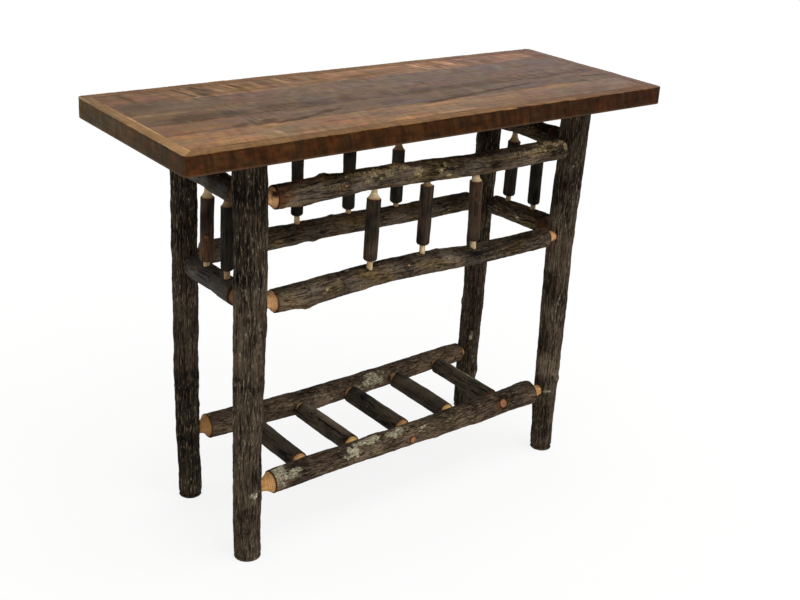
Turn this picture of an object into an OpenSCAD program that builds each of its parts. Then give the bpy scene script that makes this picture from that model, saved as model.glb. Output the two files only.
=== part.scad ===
// Console table built from bark-on hickory poles, with a top of reclaimed boards.
// Millimetres. The origin is on the floor, under the middle of the tabletop.
// +X runs along the table to the right, +Y to the back, +Z up.

/* [Overall] */
// Length of the tabletop
table_l = 1220; // [1000:1:1600]
// Depth of the tabletop, front to back
table_w = 458; // [400:1:640]
// Height of the top surface above the floor
table_h = 948; // [820:1:1050]

/* [Tabletop] */
// Thickness of the edging, and so of the whole tabletop
top_t = 39; // [34:0.5:60]
// Thickness of the lengthwise boards
board_t = 19; // [14:0.5:22]
// Width of the four mitred edging strips
edging_w = 25.5; // [18:0.5:45]
// Radius of the tabletop's four vertical corners
corner_r = 12; // [5:1:18]
// Open seam between neighbouring pieces of the tabletop
seam = 0.2; // [0.1:0.05:0.6]

/* [Legs] */
// Diameter of a leg at mid height, before its own swelling and taper
leg_d = 66; // [60:1:84]
// Distance from each end of the tabletop to the leg axes
leg_setback_x = 181; // [110:1:220]
// Distance from the front and back of the tabletop to the leg axes
leg_setback_y = 88; // [70:1:105]
// Rounding of the edge under each foot
foot_round = 9; // [3:0.5:12]

/* [Rails] */
// Distance from the underside of the tabletop to the axes of the upper rails
upper_rail_drop = 98; // [90:1:120]
// Distance between the axes of the upper and lower rails
apron_h = 216; // [180:1:260]
// Height of the stretcher axes above the floor
stretcher_z = 168; // [110:1:240]
// Diameter of the front and back rails
rail_d = 51; // [44:0.5:60]
// Diameter of the rails at the two ends of the table
side_rail_d = 49; // [45:0.5:60]
// Diameter of the two stretchers
stretcher_d = 56; // [48:0.5:66]
// Diameter of the rails' tenons
rail_tenon_d = 25; // [20:0.5:27]
// Diameter of the stretchers' tenons
stretcher_tenon_d = 28; // [22:0.5:32]
// Shaved length that shows between a rail's bark and its leg
rail_shoulder = 17; // [8:0.5:28]
// Shaved length that shows between a stretcher's bark and its leg
stretcher_shoulder = 31; // [12:0.5:40]
// Thickness of the bark ring around a shaved end
bark_t = 2.5; // [1.5:0.1:4]

/* [Spindles] */
// Diameter of a spindle over its bark
spindle_d = 29; // [22:0.5:36]
// Diameter of the spindles' tenons
spindle_tenon_d = 13; // [9:0.5:16]
// Distance between the two spindles at each end of the table
side_spindle_gap = 84; // [70:1:110]

/* [Shelf] */
// Diameter of a shelf rung over its bark
rung_d = 43; // [34:0.5:48]
// Diameter of the rungs' tenons
rung_tenon_d = 22; // [16:0.5:26]
// Shaved length that shows between a rung's bark and its stretcher
rung_shoulder = 9; // [4:0.5:16]

/* [Joints] */
// Radial room for glue around every tenon and dowel
glue_gap = 0.1; // [0.05:0.01:0.2]
// Air left behind the end of every tenon and dowel
end_gap = 0.5; // [0.2:0.1:1.5]
// Wood left between two tenons that meet inside a leg
tenon_web = 2; // [1:0.25:4]
// Diameter of the dowels that hold the tabletop on the legs
dowel_d = 20; // [12:0.5:24]
// Depth of those dowels in the legs
dowel_down = 40; // [20:1:48]
// Thickness of wood left above those dowels
dowel_cover = 12; // [6:0.5:16]

/* [Hidden] */

// Finish colours
BARK = "#43392f";
SPINDLE_BARK = "#4a3328";
BOARD = "#7a4f30";
EDGING = "#5d3b24";
PANEL = "#b08a5c";
DOWEL = "#d9b98a";

// Roundness of turned ends and bores, sides of a pole's skin, and longest step along it
turned_fn = 48;
skin_sides = 16;
skin_step = 62;
// Steps of a shaved shoulder's curve, how hollow it is, and how much of the bare length it takes
shoulder_steps = 4;
shoulder_hollow = 2.2;
shoulder_reach = 0.9;
// Thickness of the bark on a spindle or rung
thin_bark_t = 1;
// Bevelled length and depth of a spindle's bark at its lower end
bark_bevel_l = 5;
bark_bevel = 3;

leg_h = table_h - top_t;
leg_x = table_l / 2 - leg_setback_x;
leg_y = table_w / 2 - leg_setback_y;
upper_rail_z = leg_h - upper_rail_drop;
lower_rail_z = upper_rail_z - apron_h;
// Space inside the edging, and height of the dowels above the underside of the tabletop
inner_l = table_l - 2 * (edging_w + seam);
inner_w = table_w - 2 * (edging_w + seam);
dowel_up = top_t - dowel_cover;
// The shelf rungs and the long sides' spindles stand at even steps between the legs
rung_count = 5;
bay = 2 * leg_x / (rung_count + 1);

// ---- Legs, as grown: order front left, front right, back left, back right ----
FRONT_LEFT = 0;
FRONT_RIGHT = 1;
BACK_LEFT = 2;
BACK_RIGHT = 3;
LEGS = [FRONT_LEFT, FRONT_RIGHT, BACK_LEFT, BACK_RIGHT];
LEG_SIDE = [[-1, -1], [1, -1], [-1, 1], [1, 1]];
// How far each foot stands off its nominal place
LEG_SHIFT = [[-5, -4], [11, 5], [3, 2], [-13, -1]];
// Change of diameter at even steps from foot to top
LEG_GIRTH = [[-7, -5, -3.5, 0, 2, 2, 3.5],
    [-12, -8.5, -4, -2.5, -1, 0.5, 3],
    [-14, -13, -10.5, -9.5, -8.5, -9, -8],
    [-14, -9, -9, -7, -6, -5.5, -4.5]];
// Sideways drift of the axis at the same steps, and the direction it goes in
LEG_SWAY = [[-2, -3, -2, 1, 4, 4, 2],
    [2.5, -1.5, -1.5, -3, -4.5, -1, 0.5],
    [1.5, -1, -1.5, -1, 0, 1, 1],
    [-5, -5, -1, -1, 0, 5, 6]];
leg_sway_angle = -37;

// ---- Rails and stretchers, as grown ----
// Each is [from leg, to leg, height at each end, diameter, change of diameter at even steps,
// bend at even steps, angle of the bend from upright, tenon diameter, tenon stop, bare shaved
// length at each end]
apron_stop = rail_tenon_d / 2 + tenon_web;
stretcher_stop = 2 * tenon_web;
UPPER_FRONT = [FRONT_LEFT, FRONT_RIGHT, upper_rail_z + 3, upper_rail_z - 6, rail_d,
    [-3, -1, -3, -2.5, -3, -2, -1], [0, 0.5, 5, 1, -3.5, -1.5, 0], 0,
    rail_tenon_d, apron_stop, rail_shoulder * [1, 0.25]];
UPPER_BACK = [BACK_LEFT, BACK_RIGHT, upper_rail_z + 1, upper_rail_z - 3, rail_d,
    [-1, -2, 0, -1, -3, -2, -1], [0, 2, -2, 1, 3, 0, 0], 30,
    rail_tenon_d, apron_stop, rail_shoulder * [1, 1]];
UPPER_LEFT = [FRONT_LEFT, BACK_LEFT, upper_rail_z + 1.5, upper_rail_z + 2.5, side_rail_d,
    [-2, 0, 1, 3], [0, 1.5, 1, 0], 20, rail_tenon_d, apron_stop, rail_shoulder * [1, 1]];
UPPER_RIGHT = [FRONT_RIGHT, BACK_RIGHT, upper_rail_z + 6, upper_rail_z + 5, side_rail_d,
    [-2, -2, -1.5, -2], [0, -1, 1, 0], 0, rail_tenon_d, apron_stop, rail_shoulder * [1, 1]];
LOWER_FRONT = [FRONT_LEFT, FRONT_RIGHT, lower_rail_z - 1, lower_rail_z - 7.5, rail_d,
    [-2, 3.5, 0.5, 0, -3.5, -4, -5], [0, -1, 7, 7.5, -0.5, -0.5, 0], 0,
    rail_tenon_d, apron_stop, rail_shoulder * [1, 1.15]];
LOWER_BACK = [BACK_LEFT, BACK_RIGHT, lower_rail_z + 4, lower_rail_z + 4, rail_d,
    [1, 1, 0, -1.5, -2, -4, -4], [0, 0.5, 3.5, 4.5, 1, -0.5, 0], 0,
    rail_tenon_d, apron_stop, rail_shoulder * [1, 1]];
LOWER_LEFT = [FRONT_LEFT, BACK_LEFT, lower_rail_z + 3, lower_rail_z - 0.5, side_rail_d,
    [-1.5, 0.5, 1, 2], [0, 1, -1, 0], 0, rail_tenon_d, apron_stop, rail_shoulder * [1, 1]];
LOWER_RIGHT = [FRONT_RIGHT, BACK_RIGHT, lower_rail_z + 2, lower_rail_z, side_rail_d,
    [1.5, 1, 0, -1], [0, 1, 0.5, 0], 0, rail_tenon_d, apron_stop, rail_shoulder * [1, 1]];
STRETCHER_FRONT = [FRONT_LEFT, FRONT_RIGHT, stretcher_z - 4, stretcher_z + 3.5, stretcher_d,
    [-5, -3, -4, -3.5, 0.5, 1, 2], [0, 1.5, 1.5, -0.5, -1, 0, 0], 0,
    stretcher_tenon_d, stretcher_stop, stretcher_shoulder * [0.9, 1]];
STRETCHER_BACK = [BACK_LEFT, BACK_RIGHT, stretcher_z - 1, stretcher_z + 2, stretcher_d,
    [2.5, 2, 0.5, -1, -4, -5, -6], [0, -5.5, -11, -10, -5.5, -2, 0], 0,
    stretcher_tenon_d, stretcher_stop, stretcher_shoulder * [0.7, 0.2]];
RAILS = [UPPER_FRONT, UPPER_BACK, UPPER_LEFT, UPPER_RIGHT,
    LOWER_FRONT, LOWER_BACK, LOWER_LEFT, LOWER_RIGHT,
    STRETCHER_FRONT, STRETCHER_BACK];

// ---- Spindles ----
// Each is [lower rail, upper rail, axis the rails run along, place on it at the foot and at
// the head, how far the foot stands off the lower rail's axis to the front or to the left,
// bare tenon at the foot, shaved shoulder at the head, change of diameter]
ALONG_X = 0;
ALONG_Y = 1;
// Tenons end this far short of the rail's axis
spindle_stop = 4;
rung_stop = 6;
SPINDLES_FRONT = [
    [LOWER_FRONT, UPPER_FRONT, ALONG_X, -bay - 3.5, -bay + 10.5, 11, 15, 20, 2],
    [LOWER_FRONT, UPPER_FRONT, ALONG_X, 3.5, 8, 1, 19, 9, 1],
    [LOWER_FRONT, UPPER_FRONT, ALONG_X, bay + 6, bay + 3, 7, 15, 14, 0.5]];
SPINDLES_BACK = [
    [LOWER_BACK, UPPER_BACK, ALONG_X, -bay + 2.5, -bay + 2, 0, 18, 16, -1],
    [LOWER_BACK, UPPER_BACK, ALONG_X, 2, -1, 0, 11, 16, 1],
    [LOWER_BACK, UPPER_BACK, ALONG_X, bay - 2, bay - 4, 0, 8, 23, 1.5]];
// Middles of the left and right pairs
left_pair_y = -11;
right_pair_y = 6;
SPINDLES_LEFT = [
    [LOWER_LEFT, UPPER_LEFT, ALONG_Y, left_pair_y - side_spindle_gap / 2 - 3,
        left_pair_y - side_spindle_gap / 2 + 1, 3, 16, 15, -2],
    [LOWER_LEFT, UPPER_LEFT, ALONG_Y, left_pair_y + side_spindle_gap / 2,
        left_pair_y + side_spindle_gap / 2, 5, 10, 20, 0]];
SPINDLES_RIGHT = [
    [LOWER_RIGHT, UPPER_RIGHT, ALONG_Y, right_pair_y - side_spindle_gap / 2,
        right_pair_y - side_spindle_gap / 2 + 3, 0, 12, 14, 1],
    [LOWER_RIGHT, UPPER_RIGHT, ALONG_Y, right_pair_y + side_spindle_gap / 2,
        right_pair_y + side_spindle_gap / 2, 0, 12, 22, 1.5]];
SPINDLES = concat(SPINDLES_FRONT, SPINDLES_BACK, SPINDLES_LEFT, SPINDLES_RIGHT);

// ---- Shelf rungs: change of diameter, and change of the bare length at the front ----
RUNG_GIRTH = [1, 1, 1, -1, -2];
RUNG_BARE = [1, 0, 0, 3, -4];
// How far each rung stands off its even step
RUNG_SHIFT = [4.5, 3.5, 6.5, 3, -4];

// ---- Tabletop: share of the width that each board takes, from the back to the front ----
BOARD_SHARE = [76, 80, 84, 72, 95];
corner_steps = 6;

// ---- Curves and directions ----
function unit(v) = v / norm(v);

// Height at t, from 0 to 1, of a smooth curve through evenly spaced values
function smooth(values, t) =
    let (last = len(values) - 1)
    let (s = min(max(t, 0), 0.9999) * last)
    let (i = floor(s))
    let (u = s - i)
    let (a = values[max(i - 1, 0)], b = values[i])
    let (c = values[i + 1], d = values[min(i + 2, last)])
    b + u * (c - a + u * (2 * a - 5 * b + 4 * c - d + u * (3 * (b - c) + d - a))) / 2;

// The two directions across a line that starts square to reference
function across(from, to, reference) =
    let (u = unit(to - from))
    let (e = unit(reference - (reference * u) * u))
    [e, cross(u, e)];

function sum_to(values, count) = count == 0 ? 0 : values[count - 1] + sum_to(values, count - 1);

// ---- Where the poles run ----
function leg_axis(leg, z) =
    let (drift = smooth(LEG_SWAY[leg], z / leg_h))
    [LEG_SIDE[leg][0] * leg_x + LEG_SHIFT[leg][0] + drift * cos(leg_sway_angle),
        LEG_SIDE[leg][1] * leg_y + LEG_SHIFT[leg][1] + drift * sin(leg_sway_angle),
        z];
function leg_radius(leg, z) = (leg_d + smooth(LEG_GIRTH[leg], z / leg_h)) / 2;

function rail_start(rail) = leg_axis(rail[0], rail[2]);
function rail_end(rail) = leg_axis(rail[1], rail[3]);
function rail_length(rail) = norm(rail_end(rail) - rail_start(rail));
function rail_axis(rail, t) =
    let (a = rail_start(rail), b = rail_end(rail))
    let (e = across(a, b, [0, 0, 1]))
    a + (b - a) * t + smooth(rail[6], t) * (cos(rail[7]) * e[0] + sin(rail[7]) * e[1]);
function rail_radius(rail, t) = (rail[4] + smooth(rail[5], t)) / 2;
// Bare length at the rail's start or end, and distance from the leg's axis to the bark there
function bare_length(rail, at_end) = rail[10][at_end ? 1 : 0];
function bark_start(rail, at_end) =
    leg_radius(rail[at_end ? 1 : 0], rail[at_end ? 3 : 2]) + bare_length(rail, at_end);
// Position along the rail, from 0 to 1, of a place on the X or Y axis
function rail_t(rail, axis, place) =
    let (a = rail_start(rail), b = rail_end(rail))
    (place - a[axis]) / (b[axis] - a[axis]);

function spindle_foot(s) = rail_axis(s[0], rail_t(s[0], s[2], s[3]))
    - s[5] * (s[2] == ALONG_X ? [0, 1, 0] : [1, 0, 0]);
function spindle_head(s) = rail_axis(s[1], rail_t(s[1], s[2], s[4]));
// Distance along a spindle from its foot point to the surface of the lower rail
function foot_surface(s) =
    let (r = rail_radius(s[0], rail_t(s[0], s[2], s[3])))
    sqrt(r * r - s[5] * s[5]);
function head_surface(s) = rail_radius(s[1], rail_t(s[1], s[2], s[4]));

function rung_place(i) = (i - (rung_count - 1) / 2) * bay + RUNG_SHIFT[i];
function rung_point(rail, i) = rail_axis(rail, rail_t(rail, ALONG_X, rung_place(i)));
function rung_surface(rail, i) = rail_radius(rail, rail_t(rail, ALONG_X, rung_place(i)));

// ---- Shared shapes ----
// Stands children on a, with their +Z towards b. They turn a quarter of a side about it, so that
// the seam of a turned shape falls between the corners of a skin.
module along(a, b) {
    u = unit(b - a);
    quarter_side = 360 / skin_sides / 4;
    translate(a) rotate([0, acos(u[2]), atan2(u[1], u[0])]) rotate(quarter_side) children();
}

// A pole's skin through centres, each with its radius, as flat-ended rings
module skin(centres, radii, e) {
    n = skin_sides;
    last = len(centres) - 1;
    points = [for (k = [0:last]) for (j = [0:n - 1])
        centres[k] + radii[k] * (cos(360 * j / n) * e[0] + sin(360 * j / n) * e[1])];
    sides = [for (k = [0:last - 1]) for (j = [0:n - 1]) for (half = [0, 1])
        let (p = k * n + j, q = k * n + (j + 1) % n)
        half == 0 ? [p, p + n, q] : [q, p + n, q + n]];
    caps = [[for (j = [0:n - 1]) j], [for (j = [n - 1:-1:0]) last * n + j]];
    polyhedron(points = points, faces = concat(sides, caps));
}

// Points [radius, distance] of a hollow curve from a wide radius down to a narrow one
function shoulder(wide, narrow, length) = [for (k = [0:shoulder_steps])
    let (u = k / shoulder_steps)
    [narrow + (wide - narrow) * pow(1 - u, shoulder_hollow), length * u]];
// The same curve starting at from, and running onwards or back towards the start of its axis
function facing_on(points, from) = [for (p = points) [p[0], from + p[1]]];
function facing_back(points, from) = [for (k = [len(points) - 1:-1:0])
    [points[k][0], from - points[k][1]]];

module turned(profile) {
    rotate_extrude($fn = turned_fn) polygon(profile);
}

// Round hole from z0 to z1 that takes a tenon of diameter d
module seat(d, z0, z1) {
    translate([0, 0, z0]) cylinder(d = d + 2 * glue_gap, h = z1 - z0, $fn = turned_fn);
}

// Shaved shoulder and tenon at one end of a rail
module rail_end_tenon(rail, at_end) {
    a = at_end ? rail_end(rail) : rail_start(rail);
    b = at_end ? rail_start(rail) : rail_end(rail);
    bark = bark_start(rail, at_end);
    t = bark / rail_length(rail);
    wide = rail_radius(rail, at_end ? 1 - t : t) - bark_t;
    tenon_r = rail[8] / 2;
    bare = bare_length(rail, at_end);
    // The wood runs straight out of the bark before its hollow starts
    land = (1 - shoulder_reach) / 2 * bare;
    inside = 2 * bark_t;
    along(a, b) turned(concat([[0, rail[9]], [tenon_r, rail[9]]],
        facing_back(shoulder(wide, tenon_r, shoulder_reach * bare), bark - land),
        [[wide, bark + inside], [0, bark + inside]]));
}

// Hole in a leg for one end of a rail
module rail_end_seat(rail, at_end) {
    a = at_end ? rail_end(rail) : rail_start(rail);
    b = at_end ? rail_start(rail) : rail_end(rail);
    along(a, b) seat(rail[8], rail[9] - end_gap, bark_start(rail, at_end));
}

// ---- Sub-parts ----
module leg(i) {
    steps = ceil(leg_h / skin_step);
    foot = [[0, 0.9], [0.3, 0.4], [1, 0]];
    heights = concat([for (f = foot) f[0] * foot_round],
        [for (k = [1:steps]) foot_round + (leg_h - foot_round) * k / steps]);
    cuts = concat([for (f = foot) f[1] * foot_round], [for (k = [1:steps]) 0]);
    color(BARK) difference() {
        skin([for (z = heights) leg_axis(i, z)],
            [for (k = [0:len(heights) - 1]) leg_radius(i, heights[k]) - cuts[k]],
            [[1, 0, 0], [0, 1, 0]]);
        for (rail = RAILS) {
            if (rail[0] == i) rail_end_seat(rail, false);
            if (rail[1] == i) rail_end_seat(rail, true);
        }
        translate(leg_axis(i, leg_h)) seat(dowel_d, -dowel_down - end_gap, 1);
    }
}

module rail(rail) {
    a = rail_start(rail);
    b = rail_end(rail);
    length = rail_length(rail);
    t0 = bark_start(rail, false) / length;
    t1 = 1 - bark_start(rail, true) / length;
    steps = ceil((t1 - t0) * length / skin_step);
    stations = [for (k = [0:steps]) t0 + (t1 - t0) * k / steps];
    is_stretcher = rail == STRETCHER_FRONT || rail == STRETCHER_BACK;
    color(BARK) difference() {
        union() {
            skin([for (t = stations) rail_axis(rail, t)], [for (t = stations) rail_radius(rail, t)],
                across(a, b, [0, 0, 1]));
            rail_end_tenon(rail, false);
            rail_end_tenon(rail, true);
        }
        for (s = SPINDLES) {
            if (s[0] == rail) along(spindle_foot(s), spindle_head(s))
                seat(spindle_tenon_d, spindle_stop - end_gap, foot_surface(s) + s[6]);
            if (s[1] == rail) along(spindle_head(s), spindle_foot(s))
                seat(spindle_tenon_d, spindle_stop - end_gap, head_surface(s) + s[7]);
        }
        if (is_stretcher) for (i = [0:rung_count - 1]) {
            other = rail == STRETCHER_FRONT ? STRETCHER_BACK : STRETCHER_FRONT;
            along(rung_point(rail, i), rung_point(other, i))
                seat(rung_tenon_d, rung_stop - end_gap, rung_surface(rail, i) + rung_shoulder);
        }
    }
}

module spindle(s) {
    length = norm(spindle_head(s) - spindle_foot(s));
    r = (spindle_d + s[8]) / 2;
    tenon_r = spindle_tenon_d / 2;
    bark_low = foot_surface(s) + s[6];
    bark_high = length - head_surface(s) - s[7];
    color(SPINDLE_BARK) along(spindle_foot(s), spindle_head(s)) turned(concat(
        [[0, spindle_stop], [tenon_r, spindle_stop], [tenon_r, bark_low], [r - bark_bevel, bark_low],
            [r, bark_low + bark_bevel_l], [r, bark_high]],
        facing_on(shoulder(r - thin_bark_t, tenon_r, shoulder_reach * s[7]), bark_high),
        [[tenon_r, length - spindle_stop], [0, length - spindle_stop]]));
}

module shelf_rung(i) {
    front = rung_point(STRETCHER_FRONT, i);
    back = rung_point(STRETCHER_BACK, i);
    length = norm(back - front);
    r = (rung_d + RUNG_GIRTH[i]) / 2;
    tenon_r = rung_tenon_d / 2;
    bare_front = rung_shoulder + RUNG_BARE[i];
    bark_front = rung_surface(STRETCHER_FRONT, i) + bare_front;
    bark_back = length - rung_surface(STRETCHER_BACK, i) - rung_shoulder;
    wide = r - thin_bark_t;
    color(BARK) along(front, back) turned(concat(
        [[0, rung_stop], [tenon_r, rung_stop]],
        facing_back(shoulder(wide, tenon_r, shoulder_reach * bare_front), bark_front),
        [[r, bark_front], [r, bark_back]],
        facing_on(shoulder(wide, tenon_r, shoulder_reach * rung_shoulder), bark_back),
        [[tenon_r, length - rung_stop], [0, length - rung_stop]]));
}

// Outline of the tabletop with its rounded corners
module top_outline() {
    x = table_l / 2 - corner_r;
    y = table_w / 2 - corner_r;
    corners = [[x, y, 0], [-x, y, 90], [-x, -y, 180], [x, -y, 270]];
    polygon([for (c = corners) for (k = [0:corner_steps])
        let (angle = c[2] + 90 * k / corner_steps)
        [c[0] + corner_r * cos(angle), c[1] + corner_r * sin(angle)]]);
}

// One edging strip along a side of length span, mitred at both ends, with that side at -Y
module edging(angle, span, depth) {
    x = span / 2 - seam / sqrt(2);
    y = depth / 2;
    past = 1;
    color(EDGING) translate([0, 0, leg_h]) linear_extrude(height = top_t) intersection() {
        top_outline();
        rotate(angle) polygon([[-x - past, -y - past], [x + past, -y - past],
            [x - edging_w, -y + edging_w], [-x + edging_w, -y + edging_w]]);
    }
}
module edging_front() { edging(0, table_l, table_w); }
module edging_back() { edging(180, table_l, table_w); }
module edging_left() { edging(-90, table_w, table_l); }
module edging_right() { edging(90, table_w, table_l); }

module dowel_seats(y0, y1) {
    for (leg = LEGS) {
        p = leg_axis(leg, leg_h);
        reach = dowel_d / 2 + 1;
        if (p[1] + reach > y0 && p[1] - reach < y1) translate(p) seat(dowel_d, -1, dowel_up + end_gap);
    }
}

module top_board(i) {
    scale_w = inner_w / sum_to(BOARD_SHARE, len(BOARD_SHARE));
    y1 = inner_w / 2 - scale_w * sum_to(BOARD_SHARE, i) - (i == 0 ? 0 : seam / 2);
    y0 = inner_w / 2 - scale_w * sum_to(BOARD_SHARE, i + 1) + (i == len(BOARD_SHARE) - 1 ? 0 : seam / 2);
    color(BOARD) difference() {
        translate([-inner_l / 2, y0, table_h - board_t]) cube([inner_l, y1 - y0, board_t]);
        dowel_seats(y0, y1);
    }
}

module underlay_panel() {
    color(PANEL) difference() {
        translate([-inner_l / 2, -inner_w / 2, leg_h]) cube([inner_l, inner_w, top_t - board_t]);
        dowel_seats(-inner_w / 2, inner_w / 2);
    }
}

module top_dowels() {
    color(DOWEL) for (leg = LEGS) translate(leg_axis(leg, leg_h) - [0, 0, dowel_down])
        cylinder(d = dowel_d, h = dowel_down + dowel_up, $fn = turned_fn);
}

leg(FRONT_LEFT);  // leg_front_left
leg(FRONT_RIGHT);  // leg_front_right
leg(BACK_LEFT);  // leg_back_left
leg(BACK_RIGHT);  // leg_back_right
rail(UPPER_FRONT);  // upper_rail_front
rail(UPPER_BACK);  // upper_rail_back
rail(UPPER_LEFT);  // upper_rail_left
rail(UPPER_RIGHT);  // upper_rail_right
rail(LOWER_FRONT);  // lower_rail_front
rail(LOWER_BACK);  // lower_rail_back
rail(LOWER_LEFT);  // lower_rail_left
rail(LOWER_RIGHT);  // lower_rail_right
rail(STRETCHER_FRONT);  // stretcher_front
rail(STRETCHER_BACK);  // stretcher_back
for (i = [0:2]) spindle(SPINDLES_FRONT[i]);
for (i = [0:2]) spindle(SPINDLES_BACK[i]);
for (i = [0:1]) spindle(SPINDLES_LEFT[i]);
for (i = [0:1]) spindle(SPINDLES_RIGHT[i]);
for (i = [0:4]) shelf_rung(i);
edging_front();
edging_back();
edging_left();
edging_right();
for (i = [0:4]) top_board(i);
underlay_panel();
top_dowels();
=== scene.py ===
"""Looks of the console table: hickory poles with their bark on, under a top of reclaimed boards.

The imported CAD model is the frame. Each pole's axis and radii are measured on its CAD node, and
a bark skin and shaved ends are built round them. Lengths in the lists below are millimetres.
"""
import math
from typing import NamedTuple

import bpy
import numpy as np
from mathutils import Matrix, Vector
from mathutils.bvhtree import BVHTree


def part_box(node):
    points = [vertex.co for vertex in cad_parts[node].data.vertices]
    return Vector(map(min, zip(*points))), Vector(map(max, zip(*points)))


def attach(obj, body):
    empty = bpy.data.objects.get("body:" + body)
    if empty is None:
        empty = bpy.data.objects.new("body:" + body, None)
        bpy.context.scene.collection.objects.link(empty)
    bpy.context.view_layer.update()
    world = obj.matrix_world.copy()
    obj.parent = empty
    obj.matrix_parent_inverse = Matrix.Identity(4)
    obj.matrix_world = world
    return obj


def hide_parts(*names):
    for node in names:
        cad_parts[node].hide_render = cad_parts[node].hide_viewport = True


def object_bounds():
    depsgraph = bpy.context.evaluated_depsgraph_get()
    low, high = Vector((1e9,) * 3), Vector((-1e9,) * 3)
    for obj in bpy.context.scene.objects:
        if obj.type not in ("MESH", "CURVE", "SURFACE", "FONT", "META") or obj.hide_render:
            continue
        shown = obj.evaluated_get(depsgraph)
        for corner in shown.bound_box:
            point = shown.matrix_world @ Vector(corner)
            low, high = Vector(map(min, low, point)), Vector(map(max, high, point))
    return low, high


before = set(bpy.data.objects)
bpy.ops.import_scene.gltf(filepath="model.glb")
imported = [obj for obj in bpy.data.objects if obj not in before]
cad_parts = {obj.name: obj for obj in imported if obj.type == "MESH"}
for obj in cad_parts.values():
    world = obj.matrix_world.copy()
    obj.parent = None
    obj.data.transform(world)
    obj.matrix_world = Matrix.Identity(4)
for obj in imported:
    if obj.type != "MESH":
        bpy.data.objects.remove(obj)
cad_low, cad_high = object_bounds()

MM = 0.001
TURN = 2 * math.pi
X, Z = np.eye(3)[[0, 2]]
HASH_CELL, HASH_END = np.uint64(0x9E3779B97F4A7C15), np.uint64(0xBF58476D1CE4E5B9)


# ---- chance and noise
def chance(seed, *cells):
    """A value from 0 to 1 for each whole-numbered cell, the same on every run."""
    h = np.array([seed * 2 + 1], dtype=np.uint64)
    for cell in cells:
        h = (h ^ np.asarray(cell).astype(np.int64).astype(np.uint64)) * HASH_CELL
        h = h ^ (h >> np.uint64(29))
    h = h * HASH_END
    return (h >> np.uint64(40)).astype(float) / 2**24


def step(low, high, value):
    """0 below low, 1 above high and smooth between them."""
    t = np.clip((value - low) / (high - low), 0, 1)
    return t * t * (3 - 2 * t)


def noise(x, y, seed, wrap=None):
    """Smooth noise from -1 to 1 that comes round again after wrap steps of x."""
    xi, yi = np.floor(x), np.floor(y)
    fx, fy = x - xi, y - yi
    fx = fx**3 * (fx * (fx * 6 - 15) + 10)
    fy = fy**3 * (fy * (fy * 6 - 15) + 10)

    def corner(dx, dy):
        cell = xi + dx
        return chance(seed, cell % wrap if wrap else cell, yi + dy)

    near = corner(0, 0) * (1 - fx) + corner(1, 0) * fx
    far = corner(0, 1) * (1 - fx) + corner(1, 1) * fx
    return 2 * (near * (1 - fy) + far * fy) - 1


def layers(x, y, seed, count, wrap=None):
    """Noise in octaves, each twice as fine and half as strong as the last."""
    total = 0
    for k in range(count):
        total = total + noise(x * 2**k, y * 2**k, seed + k, wrap and wrap * 2**k) / 2**k
    return total * 1.25


def bell(x):
    """1 where x is 0, and next to nothing from 2 outwards."""
    return np.exp(-(x**2))


def strands(x, y, seed, wrap, edge):
    """Ridges that run along y: 0 in the furrows between them and 1 from edge outwards."""
    return step(0.0, edge, np.abs(layers(x, y, seed, 2, wrap)))


def unit(v):
    return v / np.linalg.norm(v)


def linear(code):
    """Linear RGB of a #rrggbb colour."""
    parts = [int(code[k : k + 2], 16) / 255 for k in (1, 3, 5)]
    return np.array([c / 12.92 if c <= 0.04045 else ((c + 0.055) / 1.055) ** 2.4 for c in parts])


# ---- meshes
RIDGE, LICHEN, RUST, TONE = range(4)  # marks of bark
SPOT, _, STAIN, SHADE = range(4)  # marks of bare wood


def at_least(marks, channel, value):
    """Raises one channel of the marks to value, where it is lower."""
    marks[..., channel] = np.maximum(marks[..., channel], value)


def closed_skin(name, rings, grain, marks, material, replaced, crease=60):
    """A closed mesh through rings (rows x columns x 3, in mm).

    grain is where each point lies in the wood. marks are four values of each point: the channels
    of bark or of bare wood, or the tint of a sawn board.
    """
    rows, columns = rings.shape[:2]
    # Each table gets one more point at the middle of either end, where the fans meet
    points, grain, marks = (
        np.concatenate([v.reshape(-1, v.shape[-1]), v[[0, -1]].mean(1)])
        for v in (rings, grain, marks)
    )
    here = np.arange(columns)
    onward = (here + 1) % columns
    base = np.arange(rows - 1)[:, None] * columns
    quads = np.stack(
        [base + here, base + onward, base + columns + onward, base + columns + here], -1
    ).reshape(-1, 4)
    first, last = rows * columns, rows * columns + 1
    top = (rows - 1) * columns
    fans = np.concatenate(
        [
            np.stack([np.full(columns, first), onward, here], -1),
            np.stack([np.full(columns, last), top + here, top + onward], -1),
        ]
    )
    corners = np.concatenate([quads.ravel(), fans.ravel()]).astype(np.int32)
    starts = np.concatenate(
        [np.arange(len(quads)) * 4, len(quads) * 4 + np.arange(len(fans)) * 3]
    ).astype(np.int32)

    mesh = bpy.data.meshes.new(name)
    mesh.vertices.add(len(points))
    mesh.vertices.foreach_set("co", (points * MM).astype(np.float32).ravel())
    mesh.loops.add(len(corners))
    mesh.loops.foreach_set("vertex_index", corners)
    mesh.polygons.add(len(starts))
    mesh.polygons.foreach_set("loop_start", starts)
    mesh.update(calc_edges=True)
    for label, kind, field, values in (
        ("grain", "FLOAT_VECTOR", "vector", grain),
        ("marks", "FLOAT_COLOR", "color", marks),
    ):
        attribute = mesh.attributes.new(label, kind, "POINT")
        attribute.data.foreach_set(field, values.astype(np.float32).ravel())
    mesh.polygons.foreach_set("use_smooth", np.ones(len(starts), dtype=bool))
    mesh.set_sharp_from_angle(angle=math.radians(crease))
    mesh.materials.append(material)
    piece = bpy.data.objects.new(name, mesh)
    bpy.context.scene.collection.objects.link(piece)
    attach(piece, "root")
    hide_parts(*replaced)


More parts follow.
